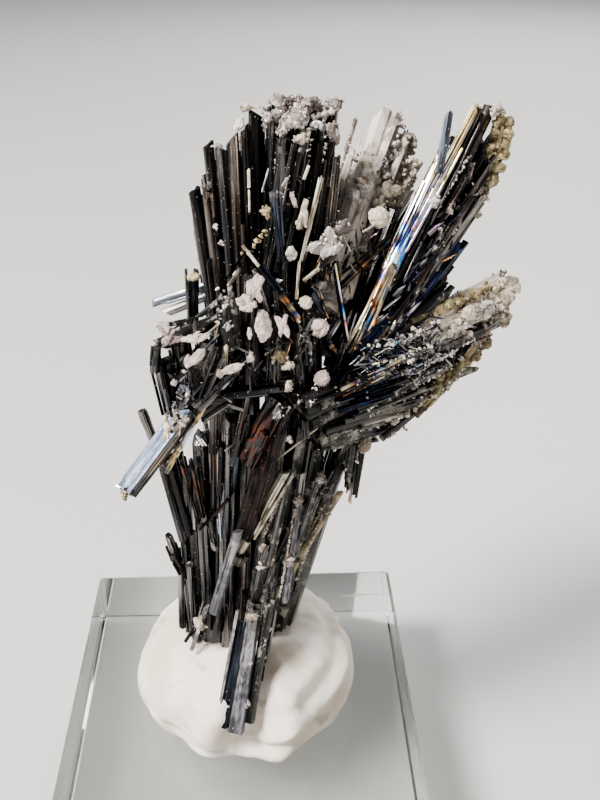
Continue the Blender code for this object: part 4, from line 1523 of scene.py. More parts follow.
@dataclass
class Stem(Branch):
    """The sheaf of crystals that rises out of the putty."""

    name: str = "stem"
    node: str = "stem_bundle"
    seed: int = 11
    ranks: int = 4
    step: Point = (0.1, 1.05, 0.1)
    shorten: float = 0.03
    reach_tip: float = 3.4
    rear_coats: tuple[Coat, ...] = (*(Coat.BLACK,) * 3, Coat.SMOKE, Coat.RUSSET, Coat.GRIMY)
    rear_frost: float = 0.4
    prisms: tuple[Prism, ...] = (
        Prism((-3.5, -1.8, 14.4), (-3.35, -2.1, 22.1), 0.8, 0.9),
        Prism((-2.9, -2.1, 13.8), (-2.9, -2.9, 27.0), 0.8, 1.0, brood=4),
        Prism((-2.2, -2.6, 13.4), (-2.0, -3.4, 30.0), 0.9, 1.1, brood=5),
        Prism((-1.3, -2.8, 13.0), (-0.4, -4.4, 33.0), 0.9, 1.1, brood=5),
        Prism((-0.3, -2.8, 12.8), (1.0, -4.4, 33.0), 1.0, 1.2, Coat.SMOKE, brood=5),
        Prism((0.7, -2.8, 12.8), (2.7, -4.6, 34.0), 1.2, 1.2, Coat.GRIMY, brood=5),
        Prism((1.5, -2.4, 12.8), (4.3, -3.8, 33.8), 1.2, 1.3, Coat.GRIMY, brood=5),
        Prism((2.2, -1.8, 13.0), (5.5, -3.0, 33.0), 1.2, 1.2, Coat.GRIMY, brood=4, frost=1.5),
        Prism((2.7, -1.2, 13.6), (6.9, -2.2, 30.4), 1.0, 1.1, Coat.GRIMY, brood=4, frost=2.0),
    )
    odd: tuple[Prism, ...] = (
        Prism((-3.1, -2.2, 24.0), (-4.4, -2.6, 31.8), 0.9, 0.9, brood=4),
        Prism((-2.9, -1.1, 24.0), (-4.2, -1.3, 31.4), 0.9, 0.9),
        Prism((-2.7, 0.1, 24.0), (-4.0, 0.2, 31.0), 0.9, 0.9),
        Prism((-3.5, -3.1, 25.1), (-4.4, -3.7, 31.3), 0.59, 0.5, brood=2),
        Prism((-3.0, -3.3, 25.7), (-3.9, -4.1, 32.0), 0.58, 0.5, brood=2),
        Prism((-2.3, -3.7, 26.9), (-3.1, -4.7, 32.2), 0.25, 0.25, Coat.RUSSET, Habit.CHISEL, brood=2),
        Prism((-2.0, -3.8, 27.4), (-2.5, -4.9, 32.7), 0.32, 0.3, Coat.RUSSET, Habit.CHISEL, brood=2),
        Prism((-1.8, -3.9, 27.8), (-2.0, -5.1, 32.9), 0.32, 0.3, Coat.RUSSET, brood=2),
        Prism((-1.3, -3.9, 27.5), (-0.9, -5.6, 36.8), 0.5, 0.45, Coat.SMOKE),
        Prism((-0.8, -4.0, 27.3), (-0.5, -5.1, 33.7), 0.38, 0.35, brood=2),
        Prism((-0.1, -4.4, 28.8), (0.6, -5.7, 34.4), 0.31, 0.3, Coat.DUSK, brood=2),
        Prism((-2.2, -4.3, 26.8), (-0.2, -5.3, 29.8), 0.26, 0.25, Coat.RUSSET, Habit.NEEDLE, brood=1),
        Prism((-0.9, -4.3, 25.9), (-0.9, -4.7, 28.4), 0.19, 0.18, Coat.STEEL, Habit.NEEDLE, brood=1),
        Prism((-1.3, -4.0, 24.9), (-1.5, -4.5, 27.7), 0.33, 0.3, Coat.GRIMY, brood=2),
        Prism((0.5, -4.2, 25.6), (2.3, -5.6, 34.9), 0.9, 0.8, Coat.RUSSET, Habit.STEPPED, brood=4),
        Prism((1.0, -4.5, 26.6), (3.2, -5.8, 35.7), 0.74, 0.7, Coat.SMOKE, Habit.STEPPED, brood=4),
        Prism((0.7, -4.9, 26.7), (3.1, -6.9, 37.3), 1.22, 0.8, Coat.RUSSET, Habit.SLAB,
              facing=TO_UPPER_LEFT),
        Prism((2.8, -7.1, 36.6), (3.3, -7.3, 37.7), 0.52, 0.4, Coat.LILAC, Habit.SPLINTER, brood=2,
              frost=3.0),
        Prism((-3.9, -2.2, 21.8), (-4.5, -2.6, 25.3), 0.61, 0.6, brood=2),
        Prism((-3.5, -2.6, 21.6), (-4.3, -3.0, 23.9), 0.54, 0.5, brood=2),
        Prism((-4.0, -2.6, 17.1), (-3.8, -2.6, 22.4), 0.56, 0.5, brood=2),
        Prism((-3.0, -3.2, 16.4), (-3.1, -3.0, 23.2), 0.69, 0.6),
        Prism((-1.9, -3.4, 16.5), (-2.0, -3.2, 23.3), 0.69, 0.6),
        Prism((-0.8, -3.8, 16.4), (-0.9, -3.6, 23.6), 0.69, 0.6),
        Prism((-1.6, -4.2, 17.3), (-0.5, -3.8, 23.7), 0.68, 0.6, habit=Habit.STEPPED),
        Prism((-3.3, -4.3, 16.5), (-2.0, -4.0, 20.5), 0.34, 0.3, Coat.LILAC, Habit.SPLINTER, brood=2,
              frost=4.0),
        Prism((-3.7, -4.1, 17.1), (-2.6, -4.0, 19.0), 0.28, 0.28, Coat.RUSSET, brood=2),
        Prism((-1.6, -4.6, 20.0), (0.4, -5.3, 27.6), 0.72, 0.4, Coat.LILAC, Habit.BLADE,
              facing=(-0.25, -0.9, 0.3)),
        Prism((3.2, -4.3, 20.6), (4.4, -4.6, 31.3), 0.42, 0.4, Coat.LILAC, brood=4, frost=1.0),
        Prism((3.7, -4.0, 23.8), (5.5, -4.3, 30.4), 0.52, 0.5, Coat.GRIMY, brood=4, frost=2.0),
        Prism((3.5, -3.6, 22.2), (6.9, -3.4, 28.9), 0.46, 0.4, Coat.OCHRE, frost=3.0),
        Prism((1.7, -4.8, 21.2), (3.7, -5.1, 31.7), 0.51, 0.5, Coat.GRIMY, Habit.STEPPED, brood=5,
              frost=2.0),
        Prism((1.2, -4.9, 21.2), (2.2, -5.1, 26.3), 0.66, 0.5, habit=Habit.STEPPED, brood=5),
        Prism((0.2, -5.2, 24.6), (0.6, -5.2, 25.7), 0.8, 0.6, Coat.SMOKE, Habit.SPLINTER, brood=4),
        Prism((2.4, -4.4, 24.0), (3.6, -4.8, 27.2), 0.5, 0.3, habit=Habit.BLADE),
        Prism((5.2, -2.6, 27.0), (7.4, -2.4, 31.6), 1.0, 0.9, Coat.GRIMY, frost=3.0),
        Prism((2.5, -6.3, 33.0), (5.3, -6.0, 35.3), 0.16, 0.16, Coat.PALE, Habit.NEEDLE, brood=0),
        Prism((-1.45, -8.5, 13.6), (0.1, -5.4, 20.9), 0.24, 0.4, Coat.LILAC, Habit.SLAB, brood=1,
              facing=TO_FRONT_LEFT),
        Prism((-1.05, -8.5, 13.5), (0.4, -5.7, 20.2), 0.6, 0.6, Coat.DUSK, Habit.SLAB, brood=1,
              facing=TO_FRONT_LEFT),
        Prism((-0.2, -8.6, 13.1), (1.1, -5.4, 20.8), 0.98, 0.8, Coat.LILAC, Habit.SLAB, brood=2,
              frost=1.0, facing=(-0.25, -0.85, 0.45)),
        Prism((0.7, -8.0, 13.4), (2.2, -5.0, 21.3), 0.81, 0.9, Coat.GRIMY, frost=2.0),
        Prism((-0.3, -7.2, 13.0), (1.3, -4.4, 21.6), 1.1, 1.0, brood=2),
    )
    druses: tuple[Druse, ...] = (
        Druse((1.65, -5.1, 24.4), (0.5, 0.3, 0.32), Tint.BEIGE, 34),
        Druse((2.3, -4.9, 24.9), (0.3, 0.2, 0.25), Tint.OCHRE, 20),
        Druse((1.7, -5.1, 25.9), (0.35, 0.25, 0.3), Tint.BEIGE, 24),
        Druse((4.2, -4.8, 29.1), (0.5, 0.3, 0.6), points=44),
        Druse((5.6, -4.2, 30.3), (0.5, 0.4, 0.6), points=44),
        Druse((3.4, -4.7, 24.6), (0.4, 0.3, 0.7), points=44),
        Druse((-2.6, -4.3, 18.6), (0.4, 0.3, 0.8), Tint.BEIGE, 40),
        Druse((0.52, -8.06, 15.16), (0.42, 0.12, 0.42), Tint.WHITE, 20),
        Druse((-0.68, -8.16, 14.96), (0.2, 0.12, 0.2), Tint.WHITE, 10),
        Druse((0.82, -7.06, 17.76), (0.2, 0.12, 0.2), Tint.WHITE, 10),
        Druse((2.2, -5.85, 19.6), (0.2, 0.15, 0.2), Tint.WHITE, 10),
        Druse((1.0, -5.9, 20.8), (0.5, 0.2, 0.3), Tint.BEIGE, 30),
    )
    seams: tuple[Seam, ...] = (
        Seam((2.9, -4.8, 21.5), (3.9, -4.8, 28.5), 0.12, Tint.BEIGE, 12),
        Seam((4.0, -4.3, 22.5), (5.7, -4.0, 27.6), 0.12, points=12),
        Seam((1.9, -5.4, 27.0), (3.4, -5.5, 31.0), 0.14, points=20),
    )


@dataclass
class Upright(Branch):
    """The tall sheaf at the upper left, capped with quartz."""

    name: str = "upright"
    node: str = "upright_bundle"
    seed: int = 23
    ranks: int = 4
    step: Point = (0.0, 1.0, -0.4)
    shorten: float = 0.05
    reach_foot: float = 3.6
    rear_coats: tuple[Coat, ...] = (*(Coat.BLACK,) * 3, Coat.SMOKE)
    rear_frost: float = 0.6
    prisms: tuple[Prism, ...] = (
        Prism((-0.6, -3.0, 39.8), (-1.7, -1.0, 48.3), 0.8, 0.8, brood=4),
        Prism((-0.2, -3.6, 40.1), (-0.9, -1.6, 48.7), 0.7, 0.8, Coat.SMOKE, brood=4),
        Prism((0.1, -3.0, 40.0), (-0.8, -0.5, 50.8), 0.7, 0.8, Coat.SMOKE),
        Prism((0.5, -3.6, 40.3), (-0.1, -1.2, 51.0), 0.7, 0.7),
        Prism((0.9, -3.6, 40.2), (0.6, -1.2, 51.6), 0.8, 0.8, Coat.SMOKE, Habit.BLADE),
        Prism((1.5, -3.2, 40.1), (1.3, -0.8, 52.0), 0.6, 0.8, habit=Habit.STEPPED),
        Prism((1.8, -3.6, 40.1), (1.9, -1.0, 52.9), 0.8, 0.9),
        Prism((2.6, -3.8, 40.2), (2.9, -0.8, 53.0), 0.7, 1.0),
        Prism((3.4, -4.4, 40.6), (3.3, -2.6, 51.6), 0.7, 0.8, habit=Habit.STEPPED),
        Prism((3.9, -4.2, 40.5), (4.1, -1.8, 52.3), 0.7, 0.9),
        Prism((3.7, -2.2, 39.6), (4.1, 1.0, 53.0), 1.2, 1.1),
        Prism((4.6, -3.2, 40.0), (5.3, -0.4, 53.4), 0.8, 1.0, brood=4),
        Prism((5.0, -3.0, 39.9), (6.3, 0.6, 52.8), 0.8, 1.0, Coat.SMOKE, brood=4),
        Prism((5.1, -3.8, 40.6), (6.1, -1.4, 50.9), 0.6, 0.8, Coat.SMOKE, brood=4),
    )
    odd: tuple[Prism, ...] = (
        Prism((-0.6, -1.7, 42.8), (-4.8, -1.1, 41.2), 0.6, 0.5, Coat.STEEL, Habit.BLADE, brood=1),
        Prism((-0.6, -1.5, 42.2), (-4.0, -1.5, 40.7), 0.6, 0.5, Coat.LILAC, Habit.BLADE, brood=1),
        Prism((-2.0, -3.6, 40.8), (-1.8, -3.2, 44.3), 0.75, 0.7, habit=Habit.STEPPED, brood=4),
        Prism((1.5, -3.3, 49.0), (1.5, -3.0, 50.1), 0.2, 0.14, Coat.COATED, Habit.SPLINTER, brood=0),
        Prism((1.5, -3.6, 47.7), (1.5, -3.3, 48.9), 0.14, 0.12, Coat.PALE, Habit.NEEDLE, brood=0),
        Prism((2.2, -3.8, 48.9), (2.6, -3.3, 50.1), 0.15, 0.14, Coat.LILAC, Habit.NEEDLE, brood=0),
        Prism((3.3, -3.8, 49.2), (3.7, -3.6, 49.8), 0.2, 0.2, Coat.COATED, Habit.SPLINTER, brood=0),
        Prism((4.1, -3.3, 50.2), (4.4, -3.0, 51.3), 0.24, 0.2, Coat.LILAC, Habit.SPLINTER, brood=1),
        Prism((4.5, -3.5, 49.5), (4.8, -3.3, 50.3), 0.22, 0.2, Coat.COATED, Habit.CHISEL, brood=0),
        Prism((2.2, -4.3, 44.2), (3.4, -2.7, 51.6), 0.38, 0.36, brood=2, frost=1.0),
        Prism((2.5, -4.3, 44.7), (4.0, -2.9, 51.4), 0.33, 0.33, brood=2, frost=1.0),
        Prism((2.9, -4.4, 44.5), (4.3, -3.1, 51.0), 0.33, 0.33, brood=2),
        Prism((3.4, -4.6, 44.7), (4.8, -2.4, 51.6), 0.39, 0.36, brood=2, frost=1.0),
        Prism((4.3, -4.5, 44.0), (5.5, -2.4, 51.4), 0.44, 0.4, brood=2, frost=1.0),
        Prism((4.9, -4.6, 44.3), (6.1, -2.4, 51.3), 0.44, 0.4, Coat.SMOKE, brood=2),
        Prism((5.5, -4.6, 44.0), (6.3, -2.8, 50.6), 0.5, 0.45, Coat.SMOKE),
        Prism((1.6, -1.4, 52.9), (2.3, -1.2, 52.9), 0.16, 0.2, Coat.PALE, Habit.BLADE, brood=1),
        Prism((-0.7, -1.6, 48.5), (-0.7, -1.4, 49.0), 0.3, 0.2, Coat.LILAC, Habit.SPLINTER, brood=2),
        Prism((5.8, -2.0, 51.3), (6.1, -1.2, 52.5), 0.39, 0.3, Coat.RUSSET, Habit.STEPPED, brood=2),
    )
    druses: tuple[Druse, ...] = (
        Druse((4.1, -1.8, 52.5), (0.9, 0.5, 0.8), Tint.WHITE, 130, 0.2),
        Druse((3.3, -1.3, 53.2), (0.7, 0.5, 0.35), Tint.GREY, 80, 0.19),
        Druse((5.0, -1.4, 53.0), (0.7, 0.5, 0.5), Tint.GREY, 80, 0.19),
        Druse((4.4, -0.6, 52.9), (1.3, 0.9, 0.7), grain=0.19),
        Druse((4.5, -2.4, 51.4), (0.7, 0.35, 0.3), Tint.BEIGE, 50, 0.13),
        Druse((6.2, -0.9, 52.9), (0.7, 0.5, 0.5), Tint.GREY, 80, 0.18),
        Druse((6.2, -2.0, 51.6), (0.35, 0.35, 0.8), points=60),
        Druse((0.9, -1.7, 52.1), (0.5, 0.3, 0.45), Tint.WHITE, 60, 0.16),
        Druse((1.35, -1.2, 52.9), (0.3, 0.3, 0.4), Tint.BEIGE, 30),
        Druse((-0.2, -1.6, 50.9), (0.4, 0.25, 0.14), Tint.WHITE, 30),
        Druse((-0.9, -2.1, 48.7), (0.3, 0.2, 0.16), points=20),
        Druse((5.7, -4.8, 46.2), (1.1, 0.5, 0.8), Tint.WHITE, 200, 0.11),
        Druse((6.6, -4.3, 47.0), (0.5, 0.4, 0.5), Tint.GREY, 60, 0.15),
        Druse((2.4, -4.5, 48.0), (0.22, 0.2, 0.55), Tint.OCHRE, 34),
        Druse((4.2, -4.6, 47.3), (0.3, 0.25, 0.3), Tint.BEIGE, 30),
        Druse((-0.4, -3.6, 46.9), (0.1, 0.1, 0.3), Tint.WHITE, 12),
        Druse((-0.1, -3.9, 46.0), (0.1, 0.1, 0.3), Tint.WHITE, 12),
        Druse((3.0, 2.4, 51.0), (0.9, 0.8, 0.7), points=90),
        Druse((1.2, 1.6, 50.2), (0.7, 0.6, 0.6), points=70),
        Druse((5.0, 2.2, 49.6), (0.7, 0.6, 0.8), Tint.BEIGE, 70),
    )
    flakes: tuple[Flake, ...] = (
        Flake((4.4, -4.7, 48.0), 1.9, 0.55, 6.0, tint=Tint.BEIGE),
        Flake((3.9, -4.6, 48.7), 1.0, 0.4, -4.0),
        Flake((-1.8, -3.7, 43.9), 0.5, 0.9, 0.0, (0.0, -0.5, 0.85), Tint.OCHRE),
    )
    seams: tuple[Seam, ...] = (
        Seam((2.4, -2.0, 51.9), (2.4, -1.4, 52.9), 0.16, points=30),
        Seam((2.5, -1.8, 52.6), (6.2, -1.3, 52.7), 0.42, Tint.GREY, 60, 0.18, 0.7),
        Seam((3.2, -2.0, 51.8), (5.9, -1.9, 51.9), 0.32, Tint.WHITE, 50, 0.15, 0.8),
        Seam((3.0, -2.6, 50.2), (3.7, -2.0, 52.4), 0.15, Tint.GREY, 16, 0.12, 0.7),
        Seam((4.6, -3.0, 49.6), (4.9, -2.4, 52.0), 0.15, Tint.GREY, 16, 0.12, 0.7),
        Seam((5.0, -2.6, 49.0), (5.8, -2.6, 51.2), 0.16, points=16),
        Seam((1.2, -4.6, 45.6), (2.4, -4.6, 46.9), 0.22, Tint.OCHRE, 24),
    )


@dataclass
class Middle(Branch):
    """The tangle at the left middle, where the crystals point every way."""

    name: str = "middle"
    node: str = "middle_cluster"
    seed: int = 37
    frost_tint: Tint = Tint.WHITE
    prisms: tuple[Prism, ...] = (
        Prism((0.6, -4.6, 41.2), (-3.1, -7.2, 38.6), 1.3, 1.2, habit=Habit.CHISEL, frost=1.0),
        Prism((0.6, -4.4, 42.1), (-4.0, -6.6, 41.0), 0.9, 0.9, Coat.GRIMY, Habit.CHISEL, frost=1.0),
        Prism((1.6, -4.7, 40.2), (-2.1, -7.4, 37.5), 1.3, 1.2, frost=1.0),
        Prism((2.4, -4.9, 38.8), (-2.6, -6.6, 36.4), 1.1, 1.1),
        Prism((-3.4, -6.6, 36.8), (-4.0, -6.2, 40.9), 0.63, 0.7, habit=Habit.STEPPED, brood=4),
        Prism((-3.0, -6.4, 36.5), (-3.4, -6.2, 40.5), 0.69, 0.8, habit=Habit.CHISEL),
        Prism((-2.3, -5.6, 35.6), (-2.8, -5.4, 41.2), 1.2, 1.2, brood=4),
        Prism((-2.4, -7.0, 36.8), (-0.7, -6.4, 41.0), 1.36, 1.0, habit=Habit.SLAB,
              facing=(-0.4, -0.8, 0.45)),
        Prism((-1.0, -5.9, 33.6), (-0.7, -6.1, 38.1), 0.59, 0.55, Coat.SMOKE, Habit.STEPPED, brood=4),
        Prism((0.1, -5.9, 32.7), (1.3, -6.5, 38.3), 0.47, 0.45, Coat.SMOKE, Habit.STEPPED, brood=4),
        Prism((0.3, -5.6, 36.4), (-0.2, -5.2, 42.4), 1.2, 1.2, brood=4),
        Prism((1.4, -5.7, 36.3), (1.5, -4.9, 44.8), 1.0, 1.1, brood=5),
        Prism((2.7, -5.7, 36.3), (3.1, -5.2, 42.8), 1.0, 1.1, habit=Habit.STEPPED, brood=5),
        Prism((4.6, -5.9, 34.6), (4.0, -6.3, 41.8), 0.6, 0.6),
        Prism((5.0, -5.0, 36.4), (5.0, -4.8, 42.6), 1.1, 1.1, brood=4),
        Prism((1.1, -5.9, 33.0), (3.1, -6.8, 37.6), 1.4, 0.9, Coat.RUSSET, Habit.SLAB, brood=4,
              facing=TO_UPPER_LEFT),
        Prism((-1.4, -5.9, 37.6), (4.9, -5.4, 38.4), 1.2, 1.2),
    )
    odd: tuple[Prism, ...] = (
        Prism((-3.6, -8.6, 34.0), (-0.8, -6.9, 38.3), 0.27, 0.25, Coat.GILT, Habit.SLAB, brood=1),
        Prism((-3.7, -7.0, 36.9), (-4.2, -6.6, 39.6), 0.2, 0.3, Coat.RUSSET, Habit.NEEDLE, brood=1),
        Prism((-4.0, -6.8, 39.6), (-3.7, -7.0, 41.6), 0.6, 0.6, habit=Habit.CHISEL),
        Prism((-2.0, -6.9, 42.7), (-3.2, -7.2, 42.0), 0.27, 0.4, Coat.GRIMY, Habit.BLADE, brood=0,
              bow=0.08),
        Prism((-0.1, -6.4, 43.8), (-1.5, -6.8, 42.8), 0.33, 0.4, Coat.GRIMY, Habit.BLADE, brood=1),
        Prism((-1.5, -6.8, 42.8), (-3.2, -7.2, 42.6), 0.27, 0.4, Coat.GRIMY, Habit.BLADE, brood=1),
        Prism((0.3, -6.4, 40.7), (0.1, -6.3, 44.5), 1.0, 0.6, Coat.GRIMY, Habit.STEPPED, brood=6,
              frost=5.0),
        Prism((-1.3, -7.2, 41.7), (-0.2, -6.9, 42.6), 0.14, 0.12, Coat.PALE, Habit.NEEDLE, brood=0),
        Prism((-1.6, -7.0, 40.6), (-0.3, -6.7, 41.8), 0.12, 0.12, Coat.STEEL, Habit.NEEDLE, brood=0),
        Prism((0.0, -7.3, 40.0), (0.1, -7.1, 41.4), 0.28, 0.26, Coat.PALE, Habit.CHISEL, brood=0),
        Prism((4.0, -6.2, 43.6), (4.2, -5.2, 45.5), 0.2, 0.18, Coat.PALE, Habit.NEEDLE, brood=1),
        Prism((4.4, -5.8, 44.5), (5.3, -5.4, 45.1), 0.22, 0.2, Coat.PALE, Habit.NEEDLE, brood=1),
        Prism((5.3, -5.4, 45.1), (6.3, -4.8, 45.8), 0.26, 0.2, Coat.SMOKE, Habit.NEEDLE, brood=1),
        Prism((5.8, -5.9, 42.3), (5.2, -5.5, 43.8), 0.17, 0.17, Coat.EMBER, Habit.NEEDLE, brood=0),
        Prism((5.6, -5.7, 42.2), (4.9, -5.3, 43.8), 0.34, 0.3, Coat.DUSK, Habit.CHISEL, brood=1),
        Prism((0.2, -6.4, 44.9), (1.3, -5.6, 46.2), 0.16, 0.16, Coat.RUSSET, Habit.NEEDLE, brood=0),
        Prism((0.3, -6.6, 44.6), (1.1, -6.2, 45.6), 0.25, 0.22, Coat.PALE, Habit.SPLINTER, brood=1),
        Prism((6.3, -5.9, 40.1), (5.8, -5.9, 41.0), 0.28, 0.26, Coat.EMBER, Habit.CHISEL, brood=1),
        Prism((2.4, -6.2, 42.9), (1.7, -5.9, 45.4), 0.4, 0.4, habit=Habit.BLADE),
        Prism((3.2, -6.3, 41.0), (2.9, -6.0, 44.6), 0.5, 0.4, habit=Habit.STEPPED, brood=4, frost=1.0),
        Prism((4.6, -6.2, 39.6), (4.4, -6.0, 42.9), 0.45, 0.4, habit=Habit.STEPPED, brood=4, frost=1.0),
        Prism((0.4, -5.8, 34.2), (-0.3, -5.6, 33.5), 0.18, 0.16, Coat.PALE, Habit.NEEDLE, brood=0),
    )
    litter: tuple[Litter, ...] = (
        Litter((-2.4, -7.3, 39.6), (5.0, -6.5, 41.0), (0.8, 0.25, 2.4), 110,
              (Coat.BLACK, Coat.SMOKE, Coat.GRIMY, Coat.LILAC, Coat.RUSSET, Coat.SMOKE, Coat.BLACK,
               Coat.EMBER),
              1.0, 0.15, 0.1, 0.6),
        Litter((4.7, -5.0, 44.3), (8.4, -3.0, 45.6), (0.7, 0.25, 1.5), 60,
              (Coat.LILAC, Coat.SMOKE, Coat.GRIMY, Coat.COATED, Coat.BLACK, Coat.EMBER), 0.9, 0.16, 0.3,
              0.7),
        Litter((-2.8, -8.1, 36.6), (-2.2, -7.5, 39.6), (0.5, 0.3, 1.0), 60,
              (Coat.LILAC, Coat.LILAC, Coat.SMOKE, Coat.BLACK, Coat.STEEL), 0.5, 0.18, 0.4),
    )
    druses: tuple[Druse, ...] = (
        Druse((3.1, -6.9, 40.4), (0.55, 0.35, 0.4), Tint.OCHRE, 60),
        Druse((3.5, -7.0, 39.9), (0.4, 0.3, 0.4), Tint.BEIGE, 44),
        Druse((3.5, -6.9, 38.6), (0.3, 0.3, 0.5), Tint.BEIGE, 40),
        Druse((4.5, -6.4, 43.5), (0.42, 0.4, 0.42), Tint.BEIGE, 30, 0.06, 1),
        Druse((5.3, -6.4, 42.0), (0.6, 0.45, 0.6), Tint.PINK, 90, 0.08, 2),
        Druse((5.2, -6.4, 42.1), (0.48, 0.42, 0.5), Tint.PINK, 40, 0.07, 1),
        Druse((5.4, -6.8, 39.0), (0.48, 0.42, 0.6), Tint.PINK, 50, 0.08, 1),
        Druse((5.6, -6.6, 37.4), (0.45, 0.4, 0.4), Tint.PINK, 50, 0.08, 3),
        Druse((3.8, -5.5, 46.0), (0.42, 0.3, 0.42), Tint.WHITE, 40),
        # These white druses stand where bright glints show: their white is partly crust colour and partly
        # painted glint.
        Druse((-2.7, -8.0, 37.0), (0.34, 0.3, 0.9), Tint.WHITE, 70, 0.14),
        Druse((-2.9, -7.4, 39.1), (0.25, 0.2, 0.3), Tint.WHITE, 20, 0.14),
        Druse((-2.2, -7.7, 38.7), (0.27, 0.2, 0.3), Tint.WHITE, 24, 0.14),
        Druse((-2.3, -7.2, 39.8), (0.17, 0.15, 0.2), Tint.WHITE, 14),
        Druse((1.5, -7.3, 40.6), (0.35, 0.25, 0.4), Tint.WHITE, 30),
        Druse((3.5, -6.9, 35.0), (0.3, 0.2, 0.3), Tint.PINK, 20),
        Druse((-0.15, -6.2, 35.0), (0.14, 0.12, 0.14), Tint.WHITE, 8),
        Druse((1.9, -6.0, 32.3), (0.12, 0.12, 0.12), Tint.WHITE, 8),
    )
    flakes: tuple[Flake, ...] = (
        Flake((1.75, -6.8, 44.6), 1.7, 1.05, -16.0),
        Flake((1.2, -7.0, 43.7), 1.1, 1.2, 40.0),
        Flake((2.15, -7.2, 42.5), 2.1, 1.2, -4.0),
        Flake((3.2, -7.1, 42.4), 1.6, 0.65, 4.0),
        Flake((0.25, -7.2, 42.4), 0.5, 0.33, -30.0),
        Flake((1.4, -7.3, 42.1), 0.75, 0.38, tint=Tint.WHITE),
        Flake((-1.6, -7.6, 40.8), 1.6, 0.8, -52.0, (-0.1, -0.9, 0.45)),
        Flake((-2.5, -7.3, 41.8), 1.4, 0.46, -75.0),
        Flake((-1.6, -7.4, 41.9), 1.6, 0.66, -62.0),
        Flake((-3.3, -7.3, 42.5), 1.0, 0.8, 20.0, TO_ABOVE),
        Flake((-3.0, -7.4, 42.0), 0.5, 1.2, 60.0, TO_ABOVE),
        Flake((0.4, -7.6, 40.1), 0.55, 1.9, 16.0),
        Flake((-0.3, -7.6, 39.8), 0.6, 0.5),
        Flake((-3.3, -8.6, 37.0), 1.7, 0.4, 5.0, (-0.3, -0.8, 0.5), Tint.BEIGE),
    )


